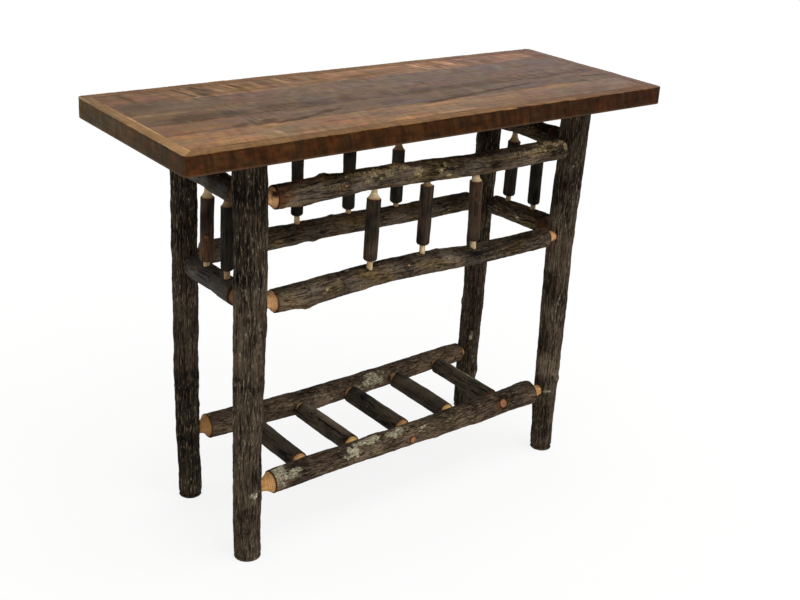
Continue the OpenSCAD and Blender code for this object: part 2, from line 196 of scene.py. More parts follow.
# ---- materials
class Shader:
    """Wires up the nodes of its owner, a material or the world."""

    def __init__(self, owner):
        self.owner = owner
        owner.use_nodes = True
        self.tree = owner.node_tree
        self.tree.nodes.clear()

    def node(self, kind, values=(), **settings):
        """A node with its inputs linked, coloured (an RGB array) or set."""
        made = self.tree.nodes.new("ShaderNode" + kind)
        for key, value in settings.items():
            setattr(made, key, value)
        for key, value in dict(values).items():
            if isinstance(value, bpy.types.NodeSocket):
                self.tree.links.new(value, made.inputs[key])
            elif isinstance(value, np.ndarray):
                made.inputs[key].default_value = (*value, 1.0)
            else:
                made.inputs[key].default_value = value
        return made

    def attribute(self, name):
        return self.node("Attribute", attribute_name=name)

    def scaled(self, vector, scale, offset=(0, 0, 0)):
        return self.node(
            "VectorMath", {0: vector, 1: scale, 2: offset}, operation="MULTIPLY_ADD"
        ).outputs[0]

    def noise(self, vector, detail=4, roughness=0.55, distortion=0.0):
        values = {
            "Vector": vector,
            "Scale": 1.0,
            "Detail": detail,
            "Roughness": roughness,
            "Distortion": distortion,
        }
        return self.node("TexNoise", values).outputs[0]

    def math(self, operation, a, b=0.0):
        return self.node("Math", {0: a, 1: b}, operation=operation).outputs[0]

    def times(self, a, b):
        return self.math("MULTIPLY", a, b)

    def plus(self, a, b):
        return self.math("ADD", a, b)

    def stirred(self, value, noise, amount):
        """value made larger and smaller by a noise whose middle is 0.5."""
        return self.plus(value, self.times(self.math("SUBTRACT", noise, 0.5), amount))

    def between(self, value, low, high, to_low=0.0, to_high=1.0):
        """value from low to high becomes to_low to to_high, smoothly, and stops there."""
        values = {0: value, 1: low, 2: high, 3: to_low, 4: to_high}
        return self.node("MapRange", values, interpolation_type="SMOOTHSTEP").outputs[0]

    def mix(self, factor, a, b, blend="MIX"):
        made = self.node("Mix", {0: factor, 6: a, 7: b}, data_type="RGBA", blend_type=blend)
        return made.outputs[2]

    def ramp(self, factor, stops, codes):
        made = self.node("ValToRGB", {0: factor})
        points = made.color_ramp.elements
        while len(points) < len(stops):
            points.new(0.5)
        for point, place, code in zip(points, stops, codes):
            point.position = place
            point.color = (*linear(code), 1.0)
        return made.outputs[0]

    def finish(self, colour, roughness, height, depth, specular, whitened=None):
        """The material, with a relief depth mm deep. whitened is how far it turns into light."""
        bump = self.node("Bump", {"Strength": 1.0, "Distance": depth * MM, "Height": height})
        surface = self.node(
            "BsdfPrincipled",
            {
                "Base Color": colour,
                "Roughness": roughness,
                "Normal": bump.outputs[0],
                "Specular IOR Level": specular,
            },
        ).outputs[0]
        if whitened is not None:
            glow = self.node("Emission", {"Color": WHITE, "Strength": 1.0}).outputs[0]
            surface = self.node("MixShader", {0: whitened, 1: surface, 2: glow}).outputs[0]
        self.node("OutputMaterial", {0: surface})
        return self.owner


WHITE = (1, 1, 1, 1)
SKIN_STOPS = (0.0, 0.3, 0.65, 1.0)
LICHEN_STOPS = (0.35, 0.5, 0.65)
RINGS_PER_METRE = 520  # growth rings, from the heart of a pole outwards


def bark_material(
    name,
    skin,
    broad,
    lichen,
    rust="#5e3c26",
    flecks=0.0,
    specular=0.07,
    crusts=(330, 330, 80),
    fibres=1.25,
    blobs=0.0,
):
    """Bark: skin and broad run from furrow to ridge, and broad takes over in patches.

    lichen and rust lie where the marks say. flecks, fibres and blobs are how strong each is,
    and crusts is how fine the lichen's edges are.
    """
    s = Shader(bpy.data.materials.new(name))
    grain, marks = s.attribute("grain"), s.attribute("marks")
    ridge, pale, bare = s.node("SeparateColor", {0: marks.outputs[0]}).outputs
    place, tone = grain.outputs[1], marks.outputs[3]
    fibre = s.noise(s.scaled(place, (390, 390, 30)), 5, 0.66)
    speckle = s.noise(s.scaled(place, (420, 420, 150)), 4, 0.6)
    patch = s.noise(s.scaled(place, (30, 30, 11), (7, 3, 1)), 4, 0.6)
    height = s.stirred(ridge, fibre, fibres)
    if blobs:
        blob = s.noise(s.scaled(place, (170, 170, 90), (3, 2, 6)), 3, 0.6)
        height = s.stirred(height, blob, blobs)
    colour = s.ramp(height, SKIN_STOPS, skin)
    patched = s.ramp(height, SKIN_STOPS, broad)
    colour = s.mix(s.between(patch, 0.42, 0.66, 0, 0.85), colour, patched)
    lit = s.times(tone, 2.0)
    shade = s.node("CombineColor", {0: lit, 1: lit, 2: lit}).outputs[0]
    colour = s.mix(1.0, colour, shade, "MULTIPLY")
    if flecks:
        spots = s.noise(s.scaled(place, (430, 430, 62), (2, 9, 4)), 3, 0.5)
        raised = s.between(height, 0.4, 0.9, 0, flecks)
        spots = s.times(s.between(spots, 0.54, 0.66), raised)
        spots = s.times(spots, s.between(patch, 0.4, 0.6, 0.35, 1.0))
        colour = s.mix(spots, colour, linear("#8a7961"))
    scale = s.noise(s.scaled(place, crusts, (1, 5, 8)), 5, 0.72)
    crust = s.stirred(pale, scale, 2.2)
    crust = s.times(s.between(crust, 0.42, 0.95, 0, 0.9), s.between(pale, 0.02, 0.3))
    crust = s.times(crust, s.between(height, 0.25, 0.7, 0.05, 1.0))
    maze = s.noise(s.scaled(place, (230, 230, 95), (4, 7, 2)), 3, 0.55)
    crack = s.math("ABSOLUTE", s.math("SUBTRACT", maze, 0.5))
    crust = s.times(crust, s.between(crack, 0.008, 0.04, 0.1, 1.0))
    colour = s.mix(crust, colour, s.ramp(speckle, LICHEN_STOPS, lichen))
    worn = s.stirred(bare, fibre, 0.5)
    inner = s.ramp(fibre, (0.3, 0.7), ("#2c170d", rust))
    inner = s.mix(s.between(tone, 0.45, 0.05, 0, 0.75), inner, linear("#100a06"))
    colour = s.mix(s.between(worn, 0.15, 0.95), colour, inner)
    relief = s.plus(fibre, s.times(speckle, 0.5))
    return s.finish(colour, s.between(fibre, 0.3, 0.7, 0.95, 0.78), relief, 0.6, specular)


def wood_material(name, light, dark, stain="#7a4420", rim="#4a2412"):
    """Shaved or sawn wood: growth rings round the pole's heart, and streaks along it."""
    s = Shader(bpy.data.materials.new(name))
    grain, marks = s.attribute("grain"), s.attribute("marks")
    spot, _, stained = s.node("SeparateColor", {0: marks.outputs[0]}).outputs
    place = grain.outputs[1]
    flat = s.scaled(place, (1, 1, 0))
    warp = s.noise(s.scaled(place, (90, 90, 22)), 3, 0.5)
    radius = s.node("VectorMath", {0: flat}, operation="LENGTH").outputs[1]
    turns = s.plus(s.times(radius, RINGS_PER_METRE), s.times(warp, 1.6))
    ring = s.between(s.math("FRACT", turns), 0.0, 0.85)
    streak = s.noise(s.scaled(place, (900, 900, 40)), 4, 0.6)
    blotch = s.noise(s.scaled(place, (110, 110, 60), (5, 1, 2)), 3, 0.5)
    height = s.plus(s.times(ring, 0.45), s.times(streak, 0.55))
    colour = s.ramp(height, (0.15, 0.8), (dark, light))
    colour = s.mix(s.between(blotch, 0.5, 0.75, 0, 0.5), colour, linear(stain))
    colour = s.mix(s.between(stained, 0.15, 0.85), colour, linear(rim))
    colour = s.mix(s.between(spot, 0.0, 1.0), colour, linear("#2c1409"))
    lit = marks.outputs[3]
    warmer = {0: lit, 1: s.math("POWER", lit, 1.15), 2: s.math("POWER", lit, 1.35)}
    shade = s.node("CombineColor", warmer).outputs[0]
    colour = s.mix(1.0, colour, shade, "MULTIPLY")
    return s.finish(colour, s.between(streak, 0.3, 0.7, 0.7, 0.55), height, 0.25, 0.15)


def board_material(name, dark, light, saw_strength, streaks, specular):
    """Sawn board: its tint comes from the mesh, and fibres, pores and saw marks from noise."""
    s = Shader(bpy.data.materials.new(name))
    grain, marks = s.attribute("grain"), s.attribute("marks")
    place = grain.outputs[1]
    along, across, saw = s.node("SeparateXYZ", {0: place}).outputs

    def lines(position, fine, fine_across, layer, *settings):
        """Noise drawn out into lines. layer keeps one kind apart from the others."""
        values = {0: s.times(position, fine), 1: s.times(across, fine_across), 2: layer}
        return s.noise(s.node("CombineXYZ", values).outputs[0], *settings)

    fibre = lines(along, 22, 760, 0.5, 5, 0.62, 0.4)
    pore = lines(along, 60, 1900, 3.5, 3, 0.6)
    kerf = lines(saw, 430, 42, 7.5, 4, 0.6)
    blotch = s.noise(s.scaled(place, (16, 60, 0), (3, 0, 0)), 4, 0.6)
    tint = marks.outputs[0]
    height = s.plus(s.times(fibre, 0.7), s.times(pore, 0.3))
    low = s.mix(1.0, tint, linear(dark), "MULTIPLY")
    high = s.mix(1.0, tint, linear(light), "SCREEN")
    colour = s.mix(s.between(height, 0.3, 0.5, 1 - streaks, 1), low, tint)
    colour = s.mix(s.between(height, 0.5, 0.72, 0, streaks), colour, high)
    colour = s.mix(s.between(kerf, 0.54, 0.7, 0, saw_strength), colour, low)
    colour = s.mix(s.between(kerf, 0.45, 0.3, 0, saw_strength * 0.8), colour, high)
    colour = s.mix(s.between(blotch, 0.55, 0.8, 0, 0.45), colour, low)
    relief = s.plus(height, s.times(kerf, 0.9))
    return s.finish(colour, s.between(fibre, 0.3, 0.7, 0.75, 0.6), relief, 0.35, specular)


PALE_GREY = ("#6d6853", "#9f997f", "#d3cdb6")
OLIVE = ("#625338", "#96865f", "#cfc29c")
MATERIALS = {
    "leg": bark_material(
        "bark_of_legs",
        ("#080604", "#17110b", "#2b2219", "#463b30"),
        ("#080604", "#18130d", "#2d271d", "#4d4539"),
        PALE_GREY,
        flecks=0.55,
    ),
    "rail": bark_material(
        "bark_of_rails",
        ("#0a0705", "#1c1510", "#362d25", "#5c5145"),
        ("#0b0703", "#20180b", "#3f3119", "#6a5633"),
        OLIVE,
        flecks=0.5,
        crusts=(170, 170, 300),
        fibres=1.0,
        blobs=1.0,
    ),
    "grey_rail": bark_material(
        "grey_bark_of_rails",
        ("#0a0908", "#211e1c", "#3c3938", "#5c5956"),
        ("#0a0806", "#221d17", "#3a342d", "#5a5349"),
        PALE_GREY,
        flecks=0.2,
    ),
    "stretcher": bark_material(
        "bark_of_stretchers",
        ("#090604", "#1d130e", "#382a21", "#5c4d40"),
        ("#090705", "#201710", "#3b2e20", "#5f523f"),
        PALE_GREY,
        flecks=0.7,
        crusts=(240, 240, 50),
        blobs=0.5,
    ),
    "rung": bark_material(
        "bark_of_rungs",
        ("#080604", "#12100b", "#201b15", "#423a30"),
        ("#080604", "#14110c", "#241f17", "#473f33"),
        PALE_GREY,
    ),
    "spindle": bark_material(
        "bark_of_spindles",
        ("#090706", "#18120d", "#261e16", "#3c3125"),
        ("#0a0706", "#1b130d", "#2d1f17", "#423225"),
        ("#6b4a26", "#a07238", "#c99b5a"),
        rust="#714326",
        specular=0.15,
    ),
    "black_spindle": bark_material(
        "dark_bark_of_spindles",
        ("#070605", "#12100c", "#1c1a14", "#2c2821"),
        ("#070605", "#14100c", "#211b15", "#302820"),
        PALE_GREY,
        rust="#5a3018",
        specular=0.12,
    ),
    "shaved": wood_material("shaved_ends", "#cfa068", "#9a6c3c"),
    "shaved_rail": wood_material("shaved_rail_ends", "#d9aa78", "#a97746", stain="#94562a"),
    "pale_shaved": wood_material(
        "shaved_spindle_ends", "#dac7a2", "#ad8f66", stain="#97714c", rim="#7c4c28"
    ),
    "golden_shaved": wood_material("golden_shaved_ends", "#d3b069", "#9c7638", stain="#8c5f2c"),
    "knot": wood_material("sawn_knots", "#a8784f", "#744c30", stain="#5f3a23"),
    "board": board_material("reclaimed_boards", "#6b5446", "#5a4630", 0.3, 0.34, 0.08),
    "edging": board_material("edging_strips", "#5a4028", "#5c3c20", 0.18, 0.12, 0.05),
}


# ---- the poles, measured on the CAD
END_SLICE = 1.0  # how close to an end a point lies to count as part of its face
REACH = 80.0  # rays start this far from the axis
END_ZONE = 110.0  # shaved ends lie within this distance of a pole's end
BARK_EDGE = 0.8  # the radius drops by more than this where the bark stops
ROUND_OVER_SIDES = 1.0065  # a 16-sided skin's round radius over its mean radius
RAYS = 24  # round the pole, where a circle is fitted
SEAT = 8.0  # what lies this far below the middle reach is the seat of another piece
FIT_ROUNDS = 6  # each leaves out the points that lie worst on the circle
CLOSE_FIT = 0.8  # points this close to the circle always count
CLEAR_OF_EDGE, CLEAR_OF_FOOT = 6, 14  # circles nearer to the ends than this are left out
SMOOTHED = 41  # rows, 1 mm apart, that the course is smoothed over


class Pole:
    """Axis and radii of a pole. s runs along it in mm from its start."""

    def __init__(self, node, upright, skinned, shaved, longer):
        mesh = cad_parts[node].data
        points = np.empty(len(mesh.vertices) * 3, dtype=np.float32)
        mesh.vertices.foreach_get("co", points)
        points = points.reshape(-1, 3).astype(float) / MM
        axis = int(np.argmax(np.ptp(points, axis=0)))
        low, high = points[:, axis].min(), points[:, axis].max()
        self.start = points[points[:, axis] < low + END_SLICE].mean(0)
        self.end = points[points[:, axis] > high - END_SLICE].mean(0)
        self.axis = axis
        self.length = np.linalg.norm(self.end - self.start)
        self.along = unit(self.end - self.start)
        self.e1 = unit(upright - (upright @ self.along) * self.along)
        self.e2 = np.cross(self.along, self.e1)
        faces = [tuple(p.vertices) for p in mesh.polygons]
        self.tree = BVHTree.FromPolygons([Vector(p) for p in points], faces)
        self.coarse = np.arange(3.0, self.length - 2, 4.0)
        self.centres = np.zeros((len(self.coarse), 2))
        self.radii = np.zeros(len(self.coarse))
        self.skinned = skinned
        if skinned:
            self.fit_circles()
        ends = np.arange(0.25, min(END_ZONE, self.length / 2), 0.5)
        self.fine = np.concatenate([ends, self.length - ends[::-1]])
        self.profile = np.array([np.median(self.reaches(s, 12)) for s in self.fine])
        self.bark_from, self.bark_to = self.bark_ends() if shaved else (0.0, self.length)
        self.full_to = self.bark_to - 1
        self.bark_to += longer

    def reaches(self, s, count):
        """Distance from the straight axis to the surface, all round."""
        found = np.zeros(count)
        middle = self.start + self.along * s
        for k in range(count):
            a = TURN * (k + 0.5) / count
            out = math.cos(a) * self.e1 + math.sin(a) * self.e2
            distance = self.tree.ray_cast(Vector(middle + out * REACH), Vector(-out))[3]
            found[k] = REACH - (distance if distance is not None else REACH)
        return found

    def fit_circles(self):
        """Circles through what the rays meet, leaving out the seats of other pieces."""
        a = TURN * (np.arange(RAYS) + 0.5) / RAYS
        for k, s in enumerate(self.coarse):
            reach = self.reaches(s, RAYS)
            x, y = reach * np.cos(a), reach * np.sin(a)
            keep = reach > np.median(reach) - SEAT
            for _ in range(FIT_ROUNDS):
                m = np.stack([x, y, np.ones(RAYS)], 1)[keep]
                cx, cy, c = np.linalg.lstsq(m, (x * x + y * y)[keep], rcond=None)[0]
                cx, cy = cx / 2, cy / 2
                r = math.sqrt(c + cx * cx + cy * cy)
                off = np.hypot(x - cx, y - cy) - r
                worst = max(CLOSE_FIT, 0.5 * np.abs(off[keep]).max())
                keep = np.abs(off) < worst
                if keep.sum() < 8:
                    break
            self.centres[k] = cx, cy
            self.radii[k] = r

    def bark_ends(self):
        """Where the bark starts and stops: the first sharp drops outwards from the middle."""
        half = len(self.fine) // 2
        edges = []
        for part in (np.arange(half - 1, 0, -1), np.arange(half, len(self.fine) - 1)):
            onward = part - 1 if part[0] > part[-1] else part + 1
            drop = self.profile[part] - self.profile[onward]
            sharp = np.nonzero(drop > BARK_EDGE)[0]
            if len(sharp):
                k = sharp[0]
                edges.append((self.fine[part[k]] + self.fine[onward[k]]) / 2)
            else:
                edges.append(0.0 if part[0] > part[-1] else self.length)
        return edges

    def smooth_course(self):
        """Smooth centre and radius along the bark, without the skin's corners."""
        s = np.arange(self.bark_from, self.bark_to + 1.0, 1.0)
        if not self.skinned:
            radius = np.interp(np.minimum(s, self.full_to), self.fine, self.profile)
            return s, np.zeros((len(s), 2)), radius
        inside = self.coarse > self.bark_from + CLEAR_OF_EDGE
        inside &= self.coarse < self.bark_to - CLEAR_OF_EDGE
        if self.bark_from == 0.0:
            inside &= self.coarse > CLEAR_OF_FOOT
        known = self.coarse[inside]
        values = np.column_stack([self.centres[inside], self.radii[inside] * ROUND_OVER_SIDES])
        window = np.hanning(SMOOTHED)
        window /= window.sum()
        pad = len(window) // 2
        out = []
        for v in values.T:
            line = np.interp(s, known, v)
            first = np.polyfit(known[:3], v[:3], 1)
            last = np.polyfit(known[-3:], v[-3:], 1)
            line = np.where(s < known[0], np.polyval(first, s), line)
            line = np.where(s > known[-1], np.polyval(last, s), line)
            wide = np.concatenate(
                [2 * line[0] - line[pad:0:-1], line, 2 * line[-1] - line[-2 : -pad - 2 : -1]]
            )
            out.append(np.convolve(wide, window, "valid"))
        return s, np.array(out[:2]).T, out[2]

    def place(self, s, x, y):
        """Points at s along the pole, x and y off its straight axis."""
        return (
            self.start
            + s[..., None] * self.along
            + x[..., None] * self.e1
            + y[..., None] * self.e2
        )


# ---- bark
class Style(NamedTuple):
    """How one kind of pole is barked. Lengths are in mm, and the rest are shares."""

    width: float  # of a ridge
    length: float
    depth: float  # of a furrow
    closed: float  # how far the furrows close in places
    closed_to: float  # noise above this closes them fully: the lower, the more of them
    lump: float
    fibre: float
    lichen: float
    rust: float
    row_step: float
    column_step: float
    ring: float  # thickness of the bark at its ends
    inner: float  # how bare the inner bark is at the ends
    golden: float  # how stained the wood next to the bark is


STYLES = {
    "leg": Style(3.0, 80, 1.8, 0.1, 0.45, 1.0, 0.3, 0.34, 0.0, 2.5, 1.05, 0.0, 0.0, 0.0),
    "rail": Style(3.8, 80, 1.0, 0.5, 0.45, 1.0, 0.26, 0.36, 0.34, 2.4, 1.15, 2.5, 0.95, 0.0),
    "stretcher": Style(3.3, 30, 0.8, 0.4, 0.45, 1.0, 0.3, 0.34, 0.26, 2.0, 1.15, 2.5, 0.95, 0.0),
    "rung": Style(4.4, 120, 0.4, 1.0, -0.45, 0.6, 0.12, 0.24, 0.1, 2.2, 1.3, 1.0, 0.95, 0.0),
    "spindle": Style(4.0, 130, 0.15, 1.0, -0.45, 0.35, 0.06, 0.0, 0.0, 1.6, 1.2, 1.0, 0.5, 0.34),
}
SKINNED = ("leg", "rail", "stretcher")  # kinds whose CAD pieces are many-sided and bent
# How much darker a leg's bark grows towards its top: painted shade under the tabletop, and partly
# darker bark
LEG_TOP_SHADE = {"front": 0.48, "back": 0.66}
FOOT_ROUND = 9.0  # up to this height a foot narrows upwards, by nearly as much

# How light each pole's bark is against its kind's palette
BARK_SHADE = {
    "leg_front_left": 0.76, "leg_front_right": 0.98, "leg_back_left": 0.45,
    "leg_back_right": 0.66, "upper_rail_front": 0.97, "lower_rail_front": 0.86,
    "upper_rail_back": 0.42, "lower_rail_back": 0.8, "upper_rail_left": 0.72,
    "lower_rail_left": 0.48, "upper_rail_right": 0.35, "lower_rail_right": 0.5,
    "stretcher_front": 0.84, "stretcher_back": 0.9, "shelf_rung_1": 0.72, "shelf_rung_2": 0.9,
    "shelf_rung_3": 0.72, "shelf_rung_4": 0.75, "shelf_rung_5": 0.8, "spindle_front_1": 1.15,
    "spindle_front_3": 0.9, "spindle_left_2": 0.95, "spindle_right_2": 0.5,
}
# Rungs whose bark is torn off at one side of the far end: how far, and at what angle
PEELED = {
    "shelf_rung_1": (6, -40),
    "shelf_rung_2": (7, -35),
    "shelf_rung_3": (7, -45),
    "shelf_rung_4": (6, -50),
}
# Poles whose bark runs on over part of the shaved shoulder at their far end, and how far
LONGER_BARK = {"spindle_back_1": 11.0, "spindle_back_2": 11.0, "stretcher_front": 5.0}
# Poles whose bark looks unlike the rest of their kind
OTHER_BARK = {
    "upper_rail_left": "grey_rail", "lower_rail_left": "grey_rail",
    "spindle_left_1": "black_spindle", "spindle_right_1": "black_spindle",
    "spindle_back_1": "black_spindle", "spindle_back_2": "black_spindle",
    "spindle_back_3": "black_spindle",
}

# What grows or sits at one place of a pole: kind, place on its main axis, angle round it, half
# length, half width, strength. Rails' angles run from the top towards the front; legs' from +X.
FEATURES = {
    "upper_rail_front": [
        ("bump", -262, -12, 13, 9, 5.5), ("bump", -310, 168, 34, 16, 4.5),
        ("knot", -224, 80, 7, 6, 2.6), ("rust", -372, 90, 30, 26, 0.75),
        ("rust", -362, 30, 30, 20, 0.6), ("pale", -300, 60, 40, 9, 0.4),
        ("pale", -134, 42, 52, 20, 0.9), ("pale", -80, 20, 36, 17, 0.9),
        ("pale", -190, 30, 50, 12, 0.6), ("rust", -320, 0, 70, 20, 0.5),
        ("rust", 20, -5, 60, 12, 0.4), ("pale", -240, 70, 50, 12, 0.5),
        ("pale", -37, 62, 24, 13, 0.8), ("pale", 25, 77, 6, 5, 1.2),
        ("pale", 48, 108, 9, 3.5, 1.2), ("pale", 35, 60, 3, 9, 1.2),
        ("pale", 40, 25, 90, 12, 0.42), ("pale", 290, 56, 60, 9, 0.7),
        ("pale", 352, 26, 46, 13, 0.95), ("pale", 396, 66, 9, 22, 0.9),
        ("dark", -200, 20, 60, 14, 0.5), ("dark", 130, 0, 140, 16, 0.5),
        ("rust", 95, 10, 34, 14, 0.5),
    ],
    "lower_rail_front": [
        ("bump", -304, 160, 18, 11, 5.0), ("bump", 340, 170, 12, 8, 2.5),
        ("pale", -196, 0, 4, 4, 1.0), ("knot", -48, 62, 7, 7, 1.8),
        ("pale", -262, 70, 14, 7, 0.7), ("pale", -300, 30, 60, 8, 0.4),
        ("pale", -230, 40, 9, 5, 0.7), ("rust", 30, -4, 10, 8, 0.8),
        ("rust", 50, -10, 10, 8, 0.8), ("bump", 52, -15, 10, 14, 2.5),
        ("pale", 62, 60, 26, 12, 0.45), ("pale", 10, 50, 20, 10, 0.4),
        ("dark", -150, 0, 130, 14, 0.6), ("rust", -395, 40, 12, 30, 0.5),
        ("dark", 270, 70, 130, 40, 0.42),
    ],
    "stretcher_front": [
        ("pale", -370, 30, 32, 32, 1.2), ("pale", -330, 48, 26, 16, 0.9),
        ("dark", -345, 42, 12, 10, 0.9), ("pale", -174, 52, 22, 18, 1.1),
        ("pale", -120, 20, 50, 14, 1.0), ("pale", -52, 20, 52, 15, 1.0),
        ("pale", -150, 90, 34, 9, 0.45), ("pale", 24, 42, 14, 9, 1.1),
        ("dark", -9, 87, 12, 12, 0.6), ("stub", -9, 87, 8.0, 8.0, 1.8),
        ("rust", 271, 62, 25, 21, 0.75), ("dark", 271, 62, 15, 15, 0.8),
        ("stub", 271, 62, 11.4, 11.4, 2.4), ("bump", 362, -22, 26, 15, 5.0),
        ("pale", -140, 18, 70, 5, 0.6), ("pale", 215, 80, 50, 9, 0.35),
    ],
    "stretcher_back": [
        ("pale", 34, 100, 24, 22, 0.9), ("pale", 84, 66, 46, 24, 0.95),
        ("pale", -46, 92, 3.5, 3.5, 1.2), ("rust", 132, 81, 12, 14, 0.8),
        ("knot", 313, 49, 6, 6, 1.4), ("pale", 165, 40, 14, 10, 0.5),
        ("pale", -120, 60, 60, 9, 0.35), ("pale", -84, 62, 40, 14, 0.42),
        ("dark", -95, 70, 60, 26, -0.4),
    ],
    "lower_rail_back": [
        ("bump", -46, -10, 14, 9, 3.2), ("bump", -99, 155, 12, 9, 3.2),
        ("pale", 70, 100, 16, 12, 0.8), ("pale", -60, 80, 80, 8, 0.4),
    ],
    "upper_rail_back": [("bump", 120, 40, 14, 9, 3.0), ("pale", -100, 90, 60, 10, 0.5)],
    "upper_rail_right": [("pale", 20, 90, 30, 9, 0.4)],
    "lower_rail_right": [("pale", -10, 268, 12, 8, 0.9), ("knot", 60, 262, 6, 6, 1.4)],
    "leg_front_left": [
        ("pale", 470, -108, 190, 32, 0.24), ("pale", 610, -103, 110, 24, 0.3),
        ("pale", 166, -88, 9, 15, 0.85), ("pale", 150, -84, 18, 3, 0.6),
        ("pale", 46, -135, 16, 9, 0.5), ("pale", 577, -108, 14, 5, 0.45),
        ("pale", 462, -119, 9, 5, 0.7), ("bump", 330, -70, 40, 18, 2.0),
        ("pale", 250, -150, 40, 5, 0.5), ("dark", 510, -127, 90, 70, -0.42),
        # The dark place at 830 on this leg, near its top, is painted shade under the tabletop
        ("dark", 240, -127, 30, 50, -0.25), ("dark", 830, -127, 90, 70, 0.2),
        ("dark", 105, -127, 48, 40, 0.3), ("pale", 285, -136, 22, 10, 0.42),
        ("pale", 498, -154, 12, 4, 0.8), ("pale", 555, -128, 42, 7, 0.5),
        ("pale", 535, -84, 60, 5, 0.45), ("pale", 863, -115, 7, 10, 0.42),
        ("pale", 761, -135, 12, 10, 0.4), ("pale", 637, -140, 22, 9, 0.42),
        ("pale", 695, -132, 24, 9, 0.36),
    ],
    "leg_front_right": [
        ("pale", 620, -120, 220, 30, 0.22), ("pale", 174, -126, 4, 22, 0.8),
        ("pale", 766, -121, 6, 2.5, 0.75), ("pale", 776, -112, 5, 1.6, 0.7),
        ("dark", 150, -120, 190, 42, -0.3), ("pale", 430, -112, 22, 5, 0.6),
        ("bump", 200, -48, 10, 8, 3.0), ("bump", 690, -60, 30, 14, 2.0),
    ],
    "leg_back_left": [
        ("dark", 370, -127, 150, 60, -0.3), ("bump", 240, -40, 12, 9, 2.5),
        ("pale", 710, -130, 7, 2.4, 0.8), ("pale", 300, -125, 12, 5, 0.4),
    ],
    "leg_back_right": [
        ("pale", 219, -123, 17, 6, 0.9), ("bump", 111, -50, 16, 9, 4.0),
        ("bump", 311, 148, 12, 9, 3.0), ("pale", 150, -95, 24, 6, 0.6),
        ("bump", 700, 120, 14, 9, 3.0),
    ],
    "shelf_rung_2": [
        ("dark", -30, 8, 130, 13, -0.8), ("dark", -104, -40, 16, 9, 1.0),
        ("bump", -96, -50, 12, 7, 2.4), ("dark", -34, -34, 68, 2.6, 1.45),
        ("bump", -34, -34, 68, 2.2, -1.8),
    ],
    "shelf_rung_5": [("pale", 10, 20, 110, 7, 0.6), ("bump", -64, -130, 26, 17, 6.5)],
    "spindle_front_1": [("rust", 745, 200, 20, 12, 0.3)],
    "spindle_front_3": [
        ("rust", 740, -110, 30, 12, 0.38), ("pale", 722, -105, 12, 7, 0.42),
        ("rust", 690, -75, 34, 10, 0.4),
    ],
    "spindle_left_2": [
        ("rust", 660, -120, 90, 18, 0.5), ("rust", 745, -130, 40, 14, 0.35),
        ("knot", 684, -128, 6, 5, 1.0),
    ],
}


def bark(style, s, angle, radius, seed):
    """Relief in mm of the bark at each point of a grid, and its four marks."""
    share = angle / TURN
    length, depth = style.length, style.depth
    count = max(6, round(TURN * radius / style.width))

    def patches(times, size, layer, octaves=3):
        """Noise that fits times round the pole and runs size mm along it."""
        return layers(share * times, s / size, seed + layer, octaves, wrap=times)

    drift = patches(5, 110, 20)
    sway = patches(14, 30, 30, 2)
    across = share * count + 0.9 * drift + 0.2 * sway
    ridge = strands(across, s / length, seed, count, 0.36)
    split = strands(2 * across, s / (0.55 * length), seed + 40, 2 * count, 0.4)
    closing = patches(3, 70, 50)
    closed = style.closed * step(-0.35, style.closed_to, closing)
    ridge = 1 - (1 - ridge) * (1 - closed)
    split = 1 - (1 - split) * (1 - 0.5 * closed)
    relief = -depth * (1 - ridge) - 0.45 * depth * (1 - split) * ridge
    relief = relief + style.lump * patches(3, 42, 60)
    threads = 8 * count
    relief = relief + style.fibre * patches(threads, 9, 80, 2)
    strips = count // 2
    strip = noise(across * strips / count, s / (1.5 * length), seed + 110, strips)
    blotch = patches(2, 60, 90)
    tone = 0.5 * (1 + 0.35 * strip + 0.45 * blotch)
    lichen = step(0.3, 0.9, patches(4, 38, 100))
    rust = step(0.1, 0.8, patches(3, 45, 130))
    marks = np.zeros(relief.shape + (4,))
    marks[..., RIDGE] = 0.36 + 0.58 * ridge * (0.62 + 0.38 * split)
    marks[..., LICHEN] = style.lichen * lichen
    marks[..., RUST] = style.rust * rust
    marks[..., TONE] = tone
    return relief, marks


def add_features(node, place, angle, radius, relief, marks, seed):
    """Adds a pole's own bumps, knots, stains and lichens. Returns the sawn stubs it carries."""
    stubs = []
    rough = layers(angle / TURN * 18, place / 9, seed + 200, 3, wrap=18)
    for kind, at, degrees, half_long, half_wide, strength in FEATURES.get(node, []):
        turn = (angle - math.radians(degrees) + math.pi) % TURN - math.pi
        u, v = place - at, turn * radius
        d = np.sqrt((u / half_long) ** 2 + (v / half_wide) ** 2)
        if kind == "bump":
            relief += strength * np.exp(-1.3 * d * d) * (1 + 0.15 * rough)
        elif kind in ("knot", "stub"):
            collar = bell((d - 1.35) / 0.42)
            relief += strength * collar * (1 + 0.3 * rough)
            relief -= (1.6 if kind == "stub" else 1.2) * bell(d / 0.8)
            at_least(marks, RUST, 0.8 * np.exp(-((d / 1.25) ** 4)))
            if kind == "stub":
                marks[..., TONE] *= 1 + 0.4 * collar
                stubs.append((at, degrees, half_long))
            else:
                heart = np.exp(-(((u / half_long - 0.3) ** 2 + (v / half_wide) ** 2) / 0.16))
                marks[..., LICHEN] = np.maximum(marks[..., LICHEN] * (1 - collar), 1.1 * heart)
                marks[..., RUST] *= 1 - heart
                marks[..., TONE] *= 1 - 0.5 * bell((d - 1.6) / 0.3)
        else:
            mask = step(1.4, 0.25, d + 0.35 * rough) * strength
            if kind == "pale":
                at_least(marks, LICHEN, mask)
            elif kind == "rust":
                at_least(marks, RUST, mask)
            else:
                marks[..., TONE] *= 1 - 0.6 * mask
                marks[..., RIDGE] *= 1 - 0.4 * mask
    return stubs


